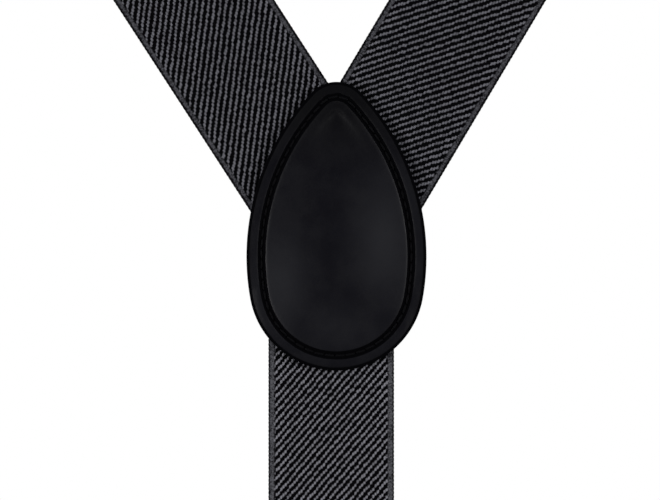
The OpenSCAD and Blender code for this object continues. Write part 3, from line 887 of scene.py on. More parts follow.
STRETCH = 80 * MM
CHEST_LENGTH = STRETCH + 12 * MM
Z_RUN_TOP = chest[1] - CHEST_LENGTH
Z_RUN_END = BAR_Z + CLIP_LEG
Z_RETURN_TOP = -144 * MM
for label, side in SIDES.items():
    def lay(s, v, side=side):
        return front_lay(side, s, v)

    strap = webbing(
        label + "_shoulder_webbing",
        FRONT,
        -35 * MM,
        s_at(side, U_CHEST),
        lay,
        shoulder_cuts(side),
    )
    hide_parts(label + "_shoulder_strap")
    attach(strap, "yoke")

    u_run = U_CHEST + CHEST_LENGTH
    strap = webbing(
        label + "_chest_webbing", FRONT, s_at(side, U_CHEST), s_at(side, u_run), lay
    )
    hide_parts(label + "_chest_elastic", label + "_chest_strap")
    x = side * FRONT_X
    top, low = (x, chest[0], chest[1]), (x, chest[0], chest[1] - STRETCH)
    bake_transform(strap, "yoke", label + "_strap", top, low)

    strap = webbing(
        label + "_run_webbing", FRONT, s_at(side, u_run), s_at(side, U_CLIP_LOOP_END), lay
    )
    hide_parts(label + "_front_run", label + "_clip_loop")
    top, low = (x, chest[0], Z_RUN_TOP), (x, chest[0], Z_RUN_END)
    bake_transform(strap, label + "_strap", label + "_strap_end", top, low)

    u_end = front_path["length"][-1]
    strap = webbing(
        label + "_return_webbing", FRONT, s_at(side, U_CLIP_LOOP_END), s_at(side, u_end), lay
    )
    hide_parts(label + "_return_run", label + "_adjuster_loop")
    low, top = (x, return_y, Z_RUN_END), (x, return_y, Z_RETURN_TOP)
    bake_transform(strap, label + "_strap_end", label + "_adjuster", low, top)

# %% [markdown]
# ## The back strap
# It is a little narrower, hangs straight down from the yoke, and its end is
# folded round the bar of the third clip and sewn. It is one piece: the upper
# part keeps still, and the lower part stretches with the clip.

# %% Back strap
BACK_STILL_Z = -80 * MM
BACK_MOVED_Z = -192 * MM
s_low = BUTT_Z - back_path["length"][-1]
strap = webbing("back_webbing", BACK, s_low, BACK_S_TOP, back_lay)
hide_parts("back_strap", "back_elastic", "back_clip_loop")
top, low = (BACK_X, MID_Y, BACK_STILL_Z), (BACK_X, MID_Y, BACK_MOVED_Z)
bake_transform(strap, "yoke", "back_strap_end", top, low)

# %% [markdown]
# ## The outline of the leather
# The patch is an egg: a round bottom, two long side arcs and a small round
# tip, each meeting the next without a corner. Drawing it as arcs means that
# the same outline can be drawn in by any distance, for the seam, the groove
# beside it and every ring of the mesh.

# %% Egg outline and seam
YOKE_R = 23.4 * MM
TIP_R = 9 * MM
YOKE_RISE = 44.6 * MM
SIDE_START = 10 * DEGREE
SEAM_INSET = 4 * MM
STITCH_PITCH = 2.8 * MM
SIDE_RISE = YOKE_RISE * math.sin(SIDE_START)
SIDE_R = (YOKE_RISE**2 + YOKE_R**2 - TIP_R**2 + 2 * YOKE_R * SIDE_RISE) / (
    2 * (YOKE_R - TIP_R + SIDE_RISE)
)
SIDE_X = (SIDE_R - YOKE_R) * math.cos(SIDE_START)
SIDE_Z = (SIDE_R - YOKE_R) * math.sin(SIDE_START)
TIP_TURN = math.atan2(YOKE_RISE - SIDE_Z, SIDE_X)


def egg_line(inset, fine=1.0):
    """Points (x, z) round the egg, anticlockwise from its left side."""
    pi = math.pi
    arcs = [
        ((0, 0), YOKE_R, pi + SIDE_START, 2 * pi - SIDE_START, 134),
        ((-SIDE_X, SIDE_Z), SIDE_R, -SIDE_START, TIP_TURN, 106),
        ((0, YOKE_RISE), TIP_R, TIP_TURN, pi - TIP_TURN, 44),
        ((SIDE_X, SIDE_Z), SIDE_R, pi - TIP_TURN, pi + SIDE_START, 106),
    ]
    line = []
    for centre, radius, turn_from, turn_to, count in arcs:
        turn = np.linspace(turn_from, turn_to, int(count * fine), endpoint=False)
        ray = np.stack([np.cos(turn), np.sin(turn)], axis=1)
        line.append(np.array(centre) + (radius - inset) * ray)
    return np.concatenate(line)


def evenly(line, count, start=0.0):
    """Points at even distances round a closed line."""
    closed = np.vstack([line, line[:1]])
    length = np.r_[0, np.cumsum(np.linalg.norm(np.diff(closed, axis=0), axis=1))]
    at = (np.arange(count) + start) * length[-1] / count
    return np.stack([np.interp(at, length, closed[:, i]) for i in (0, 1)], axis=1)


seam_line = egg_line(SEAM_INSET)
seam_length = np.linalg.norm(seam_line - np.roll(seam_line, 1, axis=0), axis=1).sum()
STITCH_COUNT = round(seam_length / STITCH_PITCH)
seam_holes = evenly(seam_line, STITCH_COUNT, 0.5)
print("seam", round(seam_length, 4), "m with", STITCH_COUNT, "stitches")

# %% [markdown]
# ## The leather patches
# The front patch is a plump leaf of leather: a rounded rim, a flat margin, a
# groove that the thread pulls down, and a middle that crowns over the three
# straps inside it. Where there is no strap under it, the rim sinks to meet the
# backing. It could be sculpted, but rings of vertices that follow the outline
# put every vertex where a height rule needs it.

# %% Shapes that the height rules use
def smooth(value):
    """0 to 1 with soft ends."""
    value = np.clip(value, 0, 1)
    return value * value * (3 - 2 * value)


def off_straps(x, z):
    """How far a point lies outside the straps that pass under the patch."""
    off = [np.maximum(np.abs(x - BACK_X) - BACK_W / 2, z - BUTT_Z)]
    for side, a in LEAN.items():
        v = x * math.cos(a) - side * (z - CROSS_Z) * math.sin(a)
        off.append(np.maximum(np.abs(v) - FRONT_W / 2, BUTT_Z - z))
    return np.minimum.reduce(off)


def off_seam(x, z):
    """Distance to the seam, which runs straight from hole to hole."""
    a, b = seam_holes, np.roll(seam_holes, -1, axis=0)
    point = np.stack([x, z], axis=1)[:, None, :]
    way = (b - a)[None]
    share = ((point - a) * way).sum(2) / (way**2).sum(2)
    foot = a + np.clip(share, 0, 1)[..., None] * way
    return np.linalg.norm(point - foot, axis=2).min(1)


def off_holes(x, z):
    """Distance to the nearest needle hole."""
    point = np.stack([x, z], axis=1)[:, None, :]
    return np.linalg.norm(point - seam_holes, axis=2).min(1)


def uneven(x, z, size):
    """Soft unevenness from -1 to 1, for hand-cut edges and worked leather."""
    waves = [(1.0, 0.31, 0.7), (-0.52, 0.93, 2.1), (0.41, -1.27, 4.0), (1.63, 1.13, 5.2)]
    total = 0 * x
    for a, b, start in waves:
        total = total + np.sin(2 * math.pi * (a * x + b * z) / size + start)
    return total / 4


print("seam runs", round(SEAM_INSET / MM, 1), "mm inside the outline")

# %% Rings of the leather
# All in millimetres. The rim has (inset, height); the others have insets only.
RIM = [(0, 0), (0, 0.45), (0, 1.0), (0.06, 1.24), (0.2, 1.42), (0.45, 1.54), (0.8, 1.6)]
MARGIN = [1.3, 1.8, 2.3, 2.7, 2.95]
GROOVE = [3.1 + 0.15 * k for k in range(13)]
MIDDLE = [5.1, 5.4, 5.9, 6.6, 7.5]
TO_SPINE = [0.08, 0.17, 0.27, 0.38, 0.5, 0.63, 0.76, 0.88, 1.0]
SPINE_DEPTH = YOKE_R / MM - MIDDLE[-1]
CROWN_INSET = 4.7
# Painted sheen, lighter where highlights fall: the middle (x, z), the reach along x and z, and how strong
PAINTED_SHEEN = [
    ((-14.5, 0.5), (7, 13), 0.9),
    ((12.5, 11.5), (8, 16), 1.0),
    ((0, -12), (14, 8), 0.4),
]


def ring_points(inset, share):
    """A ring drawn in from the outline, and on towards the spine."""
    line = egg_line(inset * MM)
    spine = np.stack([0 * line[:, 0], np.clip(line[:, 1], 0, YOKE_RISE)], axis=1)
    return line + (spine - line) * share


def leather_mesh(name, rings):
    """A closed leather leaf from rings of (inset mm, share, height rule)."""
    points, faces = [], []
    for inset, share, rule in rings:
        line = ring_points(inset, share)
        x, z = line[:, 0], line[:, 1]
        y = rule(x, z, inset + SPINE_DEPTH * share)
        points.append(np.stack([x, y, z], axis=1))
    count = len(points[0])
    for i in range(len(rings) - 1):
        for j in range(count):
            a, b = i * count + j, i * count + (j + 1) % count
            faces.append((a, b, b + count, a + count))
    mesh = bpy.data.meshes.new(name)
    mesh.from_pydata(np.concatenate(points).tolist(), [], faces)
    flat = np.concatenate(points)
    x, z = flat[:, 0] / MM, flat[:, 2] / MM
    drawn_in = np.repeat([inset + SPINE_DEPTH * share for inset, share, _ in rings], count)
    pull = 1 + 0.2 * np.exp(-((off_holes(flat[:, 0], flat[:, 2]) / MM) ** 2))
    groove = off_seam(flat[:, 0], flat[:, 2]) / MM / pull
    # Rim: edge paint on the cut edge, widened into painted shade where the edge rolls over.
    rim = 1 - smooth((drawn_in - 0.4) / 1.0)
    # A slightly darker margin, and painted shade at the tip: the upper part of the patch goes darker, as
    # less light falls there.
    darker_margin_and_tip_shade = 0.1 * (1 - smooth((drawn_in - 3) / 1.5)) + 0.8 * smooth((z - 26) / 24)
    # Darkened: edge paint and painted shade on the rim, painted shade in the groove, the darker margin and
    # painted shade at the tip.
    dark = np.maximum.reduce([np.exp(-(groove**6)), rim, darker_margin_and_tip_shade])
    # Faces of the rim and of the groove get the near-black finish of edge paint and painted shade.
    inked_and_shaded = np.maximum(np.exp(-((groove / 1.2) ** 8)), 0.9 * rim)
    # Painted sheen: three soft places made lighter, where highlights would fall.
    wear_and_painted_sheen = np.zeros(len(flat))
    for middle, reach, share in PAINTED_SHEEN:
        away = ((x - middle[0]) / reach[0]) ** 2 + ((z - middle[1]) / reach[1]) ** 2
        wear_and_painted_sheen = np.maximum(wear_and_painted_sheen, share * np.exp(-away))
    for label, values in (("dark", dark), ("inked_and_shaded", inked_and_shaded), ("wear_and_painted_sheen", wear_and_painted_sheen)):
        mesh.attributes.new(label, "FLOAT", "POINT").data.foreach_set("value", values)
    bm = bmesh.new()
    bm.from_mesh(mesh)
    bmesh.ops.remove_doubles(bm, verts=bm.verts, dist=0.004 * MM)
    bmesh.ops.dissolve_degenerate(bm, edges=bm.edges, dist=0.003 * MM)
    bmesh.ops.recalc_face_normals(bm, faces=bm.faces)
    for face in bm.faces:
        face.smooth = True
    value = bm.verts.layers.float["inked_and_shaded"]
    for face in bm.faces:
        face.material_index = int(min(vert[value] for vert in face.verts) > 0.5)
    bm.verts.layers.float.remove(value)
    bm.to_mesh(mesh)
    bm.free()
    piece = add_object(name, mesh)
    print(name, len(mesh.polygons), "faces")
    return piece


# %% [markdown]
# ## Leather finishes
# Fine black leather has a pebbled grain less than a millimetre across, a
# faint cloudiness in its dye, and a low polish. Voronoi cells give the pebbles
# and noise gives the clouds. Both patches share one grain group, and each has
# its own colour and polish. The mesh carries one value for where the leather is
# darkened: edge paint on the rim, with painted shade where the edge rolls over,
# a darker margin, and painted shade in the groove and at the tip. A second value
# is a painted sheen that makes three soft places lighter where highlights fall.
# The faces of the rim and of the pressed groove have a near-black finish of their
# own, for edge paint and painted shade, with no shine.

# %% Grain group and leather finishes
leather_grain, given, gives = open_group(
    "Leather grain",
    "ShaderNodeTree",
    [("Place", "Vector", None), ("Grain size", "Float", 0.8 * MM)],
    [("Pebble", "Float", None), ("Cloud", "Float", None), ("Fine", "Float", None)],
)
per_metre = calc(leather_grain, "DIVIDE", 1.0, given["Grain size"])
bent = add(
    leather_grain,
    "ShaderNodeTexNoise",
    {"Vector": given["Place"], "Scale": 500.0, "Detail": 2.0},
).outputs[1]
bent = add(
    leather_grain, "ShaderNodeVectorMath", {0: bent, "Scale": 0.0007}, operation="SCALE"
).outputs[0]
bent = add(leather_grain, "ShaderNodeVectorMath", {0: bent, 1: given["Place"]}).outputs[0]
pebble = add(
    leather_grain,
    "ShaderNodeTexVoronoi",
    {"Vector": bent, "Scale": per_metre},
    feature="SMOOTH_F1",
).outputs[0]
cloud = add(
    leather_grain,
    "ShaderNodeTexNoise",
    {"Vector": given["Place"], "Scale": 140.0, "Detail": 4.0, "Roughness": 0.6},
).outputs[0]
fine = add(
    leather_grain,
    "ShaderNodeTexNoise",
    {"Vector": given["Place"], "Scale": 3200.0, "Detail": 3.0},
).outputs[0]
feed(leather_grain, gives["Pebble"], calc(leather_grain, "SUBTRACT", 1.0, pebble))
feed(leather_grain, gives["Cloud"], cloud)
feed(leather_grain, gives["Fine"], fine)


# Near-black for the rim's edge paint and for painted shade in the groove, on the rolled edge and at the tip.
INK_AND_SHADE = (0.0006, 0.0006, 0.0011, 1)


def leather_finish(name, dark, light, painted_sheen_colour, polish, grain, depth, level):
    """A leather with two dye tones, a painted sheen tone, a range of polish and a grain."""
    finish, tree, shader = new_finish(name, Specular_IOR_Level=level)
    place = add(tree, "ShaderNodeTexCoord").outputs["Object"]
    made = use_group(tree, leather_grain, {"Place": place, "Grain size": grain})
    tone = fade(tree, made["Cloud"], 0.35, 0.68)
    tone = calc(tree, "MULTIPLY_ADD", fade(tree, made["Fine"], 0.3, 0.7), 1.0, tone)
    tone = calc(tree, "SUBTRACT", tone, 0.5)
    mix = add(tree, "ShaderNodeMix", {0: tone}, data_type="RGBA")
    mix.inputs[6].default_value = dark
    mix.inputs[7].default_value = light
    # Painted sheen: the base colour is lighter at three soft places, standing in for highlights.
    wear_and_painted_sheen = add(tree, "ShaderNodeAttribute", attribute_name="wear_and_painted_sheen").outputs["Fac"]
    with_painted_sheen = add(tree, "ShaderNodeMix", {0: wear_and_painted_sheen, 6: mix.outputs[2]}, data_type="RGBA")
    with_painted_sheen.inputs[7].default_value = painted_sheen_colour
    # Darkened: edge paint, a darker margin, and painted shade in the groove, on the rolled rim and at the
    # tip.
    edge_paint_and_painted_shade = add(tree, "ShaderNodeAttribute", attribute_name="dark").outputs["Fac"]
    inked_and_shaded = add(tree, "ShaderNodeMix", {0: edge_paint_and_painted_shade, 6: with_painted_sheen.outputs[2]}, data_type="RGBA")
    inked_and_shaded.inputs[7].default_value = INK_AND_SHADE
    feed(tree, shader.inputs["Base Color"], inked_and_shaded.outputs[2])
    rough = calc(tree, "MULTIPLY_ADD", made["Cloud"], polish[1] - polish[0], polish[0])
    feed(tree, shader.inputs["Roughness"], rough)
    height = calc(tree, "MULTIPLY_ADD", made["Fine"], 0.35, made["Pebble"])
    bump = add(tree, "ShaderNodeBump", {"Height": height, "Strength": 0.6})
    bump.inputs["Distance"].default_value = depth
    feed(tree, shader.inputs["Normal"], bump.outputs[0])
    return finish


black_leather = leather_finish(
    "black_leather",
    (0.0018, 0.0017, 0.0036, 1),
    (0.0042, 0.0041, 0.006, 1),
    (0.0135, 0.0137, 0.0165, 1),
    (0.4, 0.58),
    0.75 * MM,
    0.05 * MM,
    0.12,
)
# Finish for the rim's edge paint and the painted shade of the groove.
inked_and_shaded_leather = leather_finish(
    "inked_and_shaded_leather",
    INK_AND_SHADE,
    (0.0012, 0.0012, 0.0018, 1),
    (0.0012, 0.0012, 0.0018, 1),
    (0.9, 0.98),
    0.5 * MM,
    0.06 * MM,
    0.03,
)
backing_leather = leather_finish(
    "leather_backing",
    (0.012, 0.012, 0.013, 1),
    (0.022, 0.022, 0.024, 1),
    (0.03, 0.03, 0.032, 1),
    (0.65, 0.85),
    0.5 * MM,
    0.06 * MM,
    0.3,
)
print("grain group", len(leather_grain.nodes), "nodes")

# %% Front patch
SUPPORT_Y = -BACKING_T - WEB_T - 0.03 * MM


def under_front(x, z, inset):
    """The underside: on the straps, or down on the backing between them."""
    sink = 0.45 * smooth(off_straps(x, z) / (6 * MM)) * (1 - smooth(inset / 6))
    return SUPPORT_Y + sink * (WEB_T + 0.02 * MM)


def front_at(height_mm):
    """A rule for a rim ring at a height above the underside."""
    def rule(x, z, inset):
        return under_front(x, z, inset) - height_mm * MM * 0.98
    return rule


def front_top(x, z, inset):
    """Margin, groove and crown of the front patch."""
    depth = inset - CROWN_INSET
    dome = 1 - min(1, max(0, depth) / (YOKE_R / MM - CROWN_INSET))
    crown = 0.3 * (1 - math.exp(-max(0, depth) / 1.8)) + 0.8 * (1 - dome**2)
    swell = 0.07 * math.sin(math.pi * min(1, max(0, (inset - 0.8) / 3)))
    near = off_seam(x, z) / MM
    groove = 0.62 * np.exp(-((near / 0.75) ** 2.4))
    pulled = 0.16 * np.exp(-((off_holes(x, z) / MM / 0.8) ** 2))
    soft = 0.035 * uneven(x, z, 13 * MM)
    height = 1.6 + crown + swell - groove - pulled + soft
    return under_front(x, z, inset) - height * MM


rings = [(7.5, 1.0, under_front), (7.5, 0.4, under_front), (6, 0, under_front), (2, 0, under_front)]
rings += [(inset, 0, front_at(height)) for inset, height in RIM]
rings += [(inset, 0, front_top) for inset in MARGIN + GROOVE + MIDDLE]
rings += [(7.5, share, front_top) for share in TO_SPINE]
front_patch = leather_mesh("yoke_leather_front", rings)
front_patch.data.materials.append(black_leather)
front_patch.data.materials.append(inked_and_shaded_leather)
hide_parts("yoke_front_patch")
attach(front_patch, "yoke")

# %% Backing
def backing_out(x, z, inset):
    """The face that the straps lie on."""
    return 0 * x - BACKING_T + 0.02 * MM


def backing_in(x, z, inset):
    """The face that rests on the wearer, with the seam sunk into it."""
    near = off_seam(x, z) / MM
    return -0.45 * MM * np.exp(-((near / 0.6) ** 2.4)) - 0.012 * MM * (1 + uneven(x, z, 11 * MM))


def backing_rim(share):
    """A rule for the backing's rim, at a share of its thickness."""
    def rule(x, z, inset):
        return 0 * x - BACKING_T * share
    return rule


rings = [(7.5, 1.0, backing_out), (7.5, 0.4, backing_out), (6, 0, backing_out), (1, 0, backing_out)]
rings += [(0.25, 0, backing_rim(0.97)), (0, 0, backing_rim(0.75)), (0, 0, backing_rim(0.3))]
rings += [(0.1, 0, backing_rim(0.1)), (0.35, 0, backing_rim(0.02))]
rings += [(inset, 0, backing_in) for inset in [0.8] + MARGIN + GROOVE + MIDDLE]
rings += [(7.5, share, backing_in) for share in TO_SPINE]
back_patch = leather_mesh("yoke_leather_back", rings)
back_patch.data.materials.append(backing_leather)
back_patch.data.materials.append(inked_and_shaded_leather)
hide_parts("yoke_back_patch")
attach(back_patch, "yoke")

# %% [markdown]
# ## Stitches
# A row of stitches is the same short arch of thread again and again, which is
# the plainest use of Geometry Nodes. The tree turns lines of vertices into
# curves, spaces a given number of stitches along each, and stands each one
# on the surface with the outward direction that the line carries. A fixed
# seed turns every stitch a little, because no seam is perfect.

# %% Thread finish
thread_black, tree, shader = new_finish(
    "black_thread", Roughness=0.8, Specular_IOR_Level=0.06
)
place = add(tree, "ShaderNodeTexCoord").outputs["Object"]
twist = add(
    tree,
    "ShaderNodeTexWave",
    {"Vector": place, "Scale": 900.0, "Distortion": 3.0, "Detail": 1.0},
    bands_direction="DIAGONAL",
).outputs[1]
shade = add(tree, "ShaderNodeMix", {0: twist}, data_type="RGBA")
shade.inputs[6].default_value = (0.0006, 0.0006, 0.001, 1)
shade.inputs[7].default_value = (0.0022, 0.0022, 0.003, 1)
feed(tree, shader.inputs["Base Color"], shade.outputs[2])
bump = add(tree, "ShaderNodeBump", {"Height": twist, "Strength": 0.6})
bump.inputs["Distance"].default_value = 0.05 * MM
feed(tree, shader.inputs["Normal"], bump.outputs[0])
print("finish", thread_black.name)

# %% The stitch tree
stitch_row, given, gives = open_group(
    "Stitch row",
    "GeometryNodeTree",
    [
        ("Seam", "Geometry", None),
        ("Stitches", "Int", STITCH_COUNT),
        ("Stitch length", "Float", 2.3 * MM),
        ("Thread radius", "Float", 0.33 * MM),
        ("Arch", "Float", 0.3 * MM),
        ("Seed", "Int", 7),
        ("Thread", "Material", None),
    ],
    [("Stitches", "Geometry", None)],
)
seam = add(stitch_row, "GeometryNodeMeshToCurve", {"Mesh": given["Seam"]}).outputs[0]
seam = add(
    stitch_row, "GeometryNodeResampleCurve", {"Curve": seam, "Count": given["Stitches"]}
).outputs[0]
half = calc(stitch_row, "MULTIPLY", given["Stitch length"], 0.5)
dip = calc(stitch_row, "MULTIPLY", given["Arch"], -1.3)


def spot_at(x, z):
    """A vector from sockets or numbers."""
    return add(stitch_row, "ShaderNodeCombineXYZ", {0: x, 2: z}).outputs[0]


arch = add(
    stitch_row,
    "GeometryNodeCurveQuadraticBezier",
    {
        "Resolution": 7,
        "Start": spot_at(calc(stitch_row, "MULTIPLY", half, -1.0), dip),
        "Middle": spot_at(0.0, calc(stitch_row, "MULTIPLY", given["Arch"], 1.6)),
        "End": spot_at(half, dip),
    },
).outputs[0]
thread_end = add(
    stitch_row,
    "GeometryNodeCurvePrimitiveCircle",
    {"Resolution": 8, "Radius": given["Thread radius"]},
).outputs[0]
one_stitch = add(
    stitch_row,
    "GeometryNodeCurveToMesh",
    {"Curve": arch, "Profile Curve": thread_end, "Fill Caps": True},
).outputs[0]
tangent = add(stitch_row, "GeometryNodeInputTangent").outputs[0]
facing = add(
    stitch_row, "FunctionNodeAlignRotationToVector", {"Vector": tangent}, axis="X"
).outputs[0]
facing = add(
    stitch_row,
    "FunctionNodeAlignRotationToVector",
    {"Rotation": facing, "Vector": carried(stitch_row, "outward", "FLOAT_VECTOR")},
    axis="Z",
    pivot_axis="X",
).outputs[0]
jitter = add(
    stitch_row,
    "FunctionNodeRandomValue",
    {"Min": (0, -0.03, -0.09), "Max": (0, 0.03, 0.09), "Seed": given["Seed"]},
    data_type="FLOAT_VECTOR",
).outputs[0]
turned = add(stitch_row, "FunctionNodeEulerToRotation", {0: jitter}).outputs[0]
facing = add(
    stitch_row,
    "FunctionNodeRotateRotation",
    {"Rotation": facing, "Rotate By": turned},
    rotation_space="LOCAL",
).outputs[0]
placed = add(
    stitch_row,
    "GeometryNodeInstanceOnPoints",
    {"Points": seam, "Instance": one_stitch, "Rotation": facing},
).outputs[0]
solid = add(stitch_row, "GeometryNodeRealizeInstances", {"Geometry": placed}).outputs[0]
smoothed = add(stitch_row, "GeometryNodeSetShadeSmooth", {"Geometry": solid}).outputs[0]
threaded = add(
    stitch_row,
    "GeometryNodeSetMaterial",
    {"Geometry": smoothed, "Material": given["Thread"]},
).outputs[0]
feed(stitch_row, gives["Stitches"], threaded)
print("stitch tree", len(stitch_row.nodes), "nodes")

# %% Seams
def seam_object(name, lines):
    """Lines of (points, outward, closed) as one mesh of edges."""
    points, edges, outward = [], [], []
    for line, out, closed in lines:
        first, count = len(points), len(line)
        points += [tuple(p) for p in line]
        outward += [tuple(out)] * count
        edges += [(first + k, first + k + 1) for k in range(count - 1)]
        if closed:
            edges.append((first + count - 1, first))
    mesh = bpy.data.meshes.new(name)
    mesh.from_pydata(points, edges, [])
    carrier = mesh.attributes.new("outward", "FLOAT_VECTOR", "POINT")
    carrier.data.foreach_set("vector", np.array(outward, float).ravel())
    return add_object(name, mesh)


def stitched(name, lines, values, node, body):
    """Threads that stand for a CAD node and ride on its body."""
    piece = seam_object(name, lines)
    run_tree(piece, stitch_row, {"Thread": thread_black, **values})
    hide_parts(node)
    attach(piece, body)
    print(name, len(piece.data.polygons), "faces")


def at_height(line, y):
    """Points (x, z) set at a height y."""
    return np.stack([line[:, 0], 0 * line[:, 0] + y, line[:, 1]], axis=1)


groove_y = SUPPORT_Y - 1.02 * MM
stitched(
    "yoke_thread",
    [
        (at_height(seam_line, groove_y), (0, -1, 0), True),
        (at_height(seam_line, -0.36 * MM), (0, 1, 0), True),
    ],
    {"Stitches": STITCH_COUNT, "Arch": 0.2 * MM},
    "yoke_stitching",
    "yoke",
)

# %% Seams of the sewn loops
ADJUSTER_ROWS = (-137 * MM, -140 * MM)
BACK_ROWS = (-210 * MM, -202 * MM)
STITCH_LIFT = 0.68 * MM
LOOP_STITCHES = {
    "Stitches": 12,
    "Stitch length": 2.1 * MM,
    "Thread radius": 0.24 * MM,
    "Arch": 0.17 * MM,
}


def loop_rows(x, faces, heights):
    """Rows of stitches across a sewn loop, on both of its faces."""
    half = 5.5 * STITCH_PITCH
    rows = []
    for y, out in faces:
        for z in heights:
            ends = [(x - half, y, z), (x + half, y, z)]
            rows.append((ends, (0, out, 0), False))
    return rows


for label, side in SIDES.items():
    faces = [(return_y - STITCH_LIFT, -1), (return_y + FOLD_IN + STITCH_LIFT, 1)]
    rows = loop_rows(side * FRONT_X, faces, ADJUSTER_ROWS)
    node, body = label + "_adjuster_stitching", label + "_adjuster"
    stitched(label + "_adjuster_thread", rows, LOOP_STITCHES, node, body)
faces = [(MID_Y - STITCH_LIFT, -1), (MID_Y + FOLD_IN + STITCH_LIFT, 1)]
rows = loop_rows(BACK_X, faces, BACK_ROWS)
stitched("back_loop_thread", rows, LOOP_STITCHES, "back_loop_stitching", "back_strap_end")

# %% [markdown]
# ## Steel and plastic
# The clips and adjusters are pressed from nickel-plated sheet. Real pressed
# edges are never sharp, so each part is a copy of its CAD shape with its loose
# triangles merged and its edges rounded by a Bevel modifier. The plating is
# bright on the levers and pins and duller on the frames, with fine rubbing marks
# on all of them. The pads are moulded plastic with a faint spark-eroded texture.

# %% Metal and plastic finishes
plating_wear, given, gives = open_group(
    "Plating wear",
    "ShaderNodeTree",
    [("Place", "Vector", None), ("Grain", "Float", 1.0)],
    [("Rubbed", "Float", None), ("Streak", "Float", None)],
)
long_way = add(
    plating_wear,
    "ShaderNodeVectorMath",
    {0: given["Place"], 1: (90, 2600, 2600)},
    operation="MULTIPLY",
).outputs[0]
streak = add(
    plating_wear, "ShaderNodeTexNoise", {"Vector": long_way, "Scale": 1.0, "Detail": 3.0}
).outputs[0]
wear_and_painted_sheen = add(
    plating_wear,
    "ShaderNodeTexNoise",
    {"Vector": given["Place"], "Scale": 420.0, "Detail": 4.0, "Roughness": 0.5},
).outputs[0]
feed(plating_wear, gives["Streak"], calc(plating_wear, "MULTIPLY", streak, given["Grain"]))
feed(plating_wear, gives["Rubbed"], fade(plating_wear, wear_and_painted_sheen, 0.35, 0.8))


def plated_finish(name, smooth_rough, worn_rough, grain):
    """Nickel plate with streaks along X and rubbed patches."""
    finish, tree, shader = new_finish(name, Metallic=1.0)
    place = add(tree, "ShaderNodeTexCoord").outputs["Object"]
    made = use_group(tree, plating_wear, {"Place": place, "Grain": grain})
    mix = add(tree, "ShaderNodeMix", {0: made["Rubbed"]}, data_type="RGBA")
    mix.inputs[6].default_value = (0.58, 0.57, 0.55, 1)
    mix.inputs[7].default_value = (0.52, 0.51, 0.49, 1)
    feed(tree, shader.inputs["Base Color"], mix.outputs[2])
    rough = calc(tree, "MULTIPLY_ADD", made["Rubbed"], worn_rough - smooth_rough, smooth_rough)
    rough = calc(tree, "MULTIPLY_ADD", made["Streak"], 0.08, rough)
    feed(tree, shader.inputs["Roughness"], rough)
    bump = add(tree, "ShaderNodeBump", {"Height": made["Streak"], "Strength": 0.25})
    bump.inputs["Distance"].default_value = 0.015 * MM
    feed(tree, shader.inputs["Normal"], bump.outputs[0])
    return finish


bright_nickel = plated_finish("nickel_bright", 0.15, 0.24, 0.6)
satin_nickel = plated_finish("nickel_satin", 0.26, 0.36, 1.0)
black_plastic, tree, shader = new_finish("black_plastic", Specular_IOR_Level=0.4)
place = add(tree, "ShaderNodeTexCoord").outputs["Object"]
spark = add(
    tree, "ShaderNodeTexNoise", {"Vector": place, "Scale": 4200.0, "Detail": 3.0}
).outputs[0]
haze = add(tree, "ShaderNodeTexNoise", {"Vector": place, "Scale": 300.0}).outputs[0]
mix = add(tree, "ShaderNodeMix", {0: haze}, data_type="RGBA")
mix.inputs[6].default_value = (0.008, 0.008, 0.009, 1)
mix.inputs[7].default_value = (0.017, 0.017, 0.018, 1)
feed(tree, shader.inputs["Base Color"], mix.outputs[2])
feed(tree, shader.inputs["Roughness"], calc(tree, "MULTIPLY_ADD", haze, 0.25, 0.42))
bump = add(tree, "ShaderNodeBump", {"Height": spark, "Strength": 0.4})
bump.inputs["Distance"].default_value = 0.03 * MM
feed(tree, shader.inputs["Normal"], bump.outputs[0])

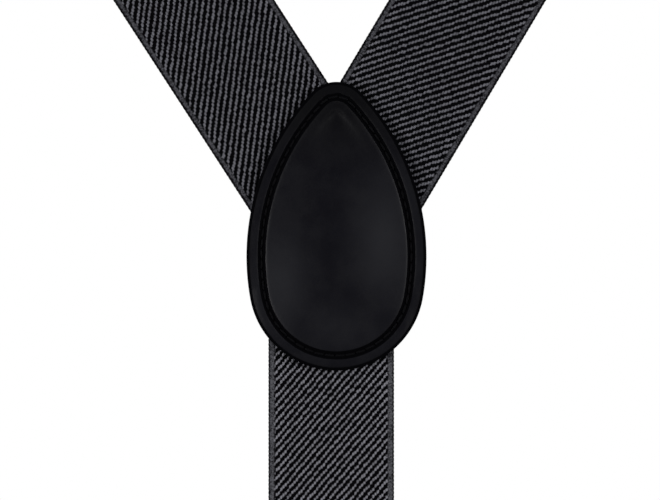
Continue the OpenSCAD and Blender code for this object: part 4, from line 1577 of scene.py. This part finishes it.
# %% Rounded hard parts
def rounded_part(node, radius, finish):
    """A copy of a CAD part with merged faces and rounded edges."""
    source = frame["nodes"][node]
    bm = bmesh.new()
    bm.from_mesh(source.data)
    bmesh.ops.remove_doubles(bm, verts=bm.verts, dist=0.002 * MM)
    bmesh.ops.dissolve_degenerate(bm, edges=bm.edges, dist=0.001 * MM)
    bmesh.ops.dissolve_limit(
        bm, angle_limit=1.2 * DEGREE, verts=bm.verts, edges=bm.edges, use_dissolve_boundaries=False
    )
    for face in bm.faces:
        face.smooth = True
    mesh = bpy.data.meshes.new(node + "_part")
    bm.to_mesh(mesh)
    bm.free()
    part = add_object(node + "_part", mesh)
    bevel = part.modifiers.new("edges", "BEVEL")
    bevel.width = radius
    bevel.segments = 2
    bevel.limit_method = "ANGLE"
    bevel.angle_limit = 35 * DEGREE
    bevel.harden_normals = False
    graph = bpy.context.evaluated_depsgraph_get()
    result = bpy.data.meshes.new_from_object(part.evaluated_get(graph), depsgraph=graph)
    part.modifiers.remove(bevel)
    part.data = result
    result.set_sharp_from_angle(angle=38 * DEGREE)
    result.materials.clear()
    result.materials.append(finish)
    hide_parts(node)
    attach(part, source["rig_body"])
    return part


count = 0
for place in ("left", "right", "back"):
    for kind, radius, finish in (
        ("frame", 0.16, satin_nickel),
        ("lever", 0.2, bright_nickel),
        ("pin", 0.15, bright_nickel),
    ):
        rounded_part(f"{place}_clip_{kind}", radius * MM, finish)
        if place != "back":
            node = f"{place}_adjuster_{kind}"
            rounded_part(node, radius * 0.8 * MM, finish)
            count += 1
        count += 1
    for kind in ("lever_pad", "grip_pad"):
        rounded_part(f"{place}_clip_{kind}", 0.06 * MM, black_plastic)
        count += 1
print("hard parts", count)

# %% [markdown]
# ## The floor's finish
# A plain pale floor still has a trace of unevenness, or it looks like a hole
# in the picture, so its roughness and colour waver very slightly. A little
# glow that only the camera sees keeps it pale far from the lights.

# %% Floor finish
pale_floor, tree, shader = new_finish("pale_floor", Specular_IOR_Level=0.2)
place = add(tree, "ShaderNodeTexCoord").outputs["Object"]
waver = add(tree, "ShaderNodeTexNoise", {"Vector": place, "Scale": 3.0}).outputs[0]
mix = add(tree, "ShaderNodeMix", {0: waver}, data_type="RGBA")
mix.inputs[6].default_value = (0.14, 0.14, 0.138, 1)
mix.inputs[7].default_value = (0.16, 0.16, 0.158, 1)
feed(tree, shader.inputs["Base Color"], mix.outputs[2])
feed(tree, shader.inputs["Roughness"], calc(tree, "MULTIPLY_ADD", waver, 0.1, 0.75))
seen = add(tree, "ShaderNodeLightPath").outputs["Is Camera Ray"]
shader.inputs["Emission Color"].default_value = (1, 1, 1, 1)
feed(tree, shader.inputs["Emission Strength"], calc(tree, "MULTIPLY", seen, 0.78))
floor_mesh.materials.append(pale_floor)
print("finish", pale_floor.name)
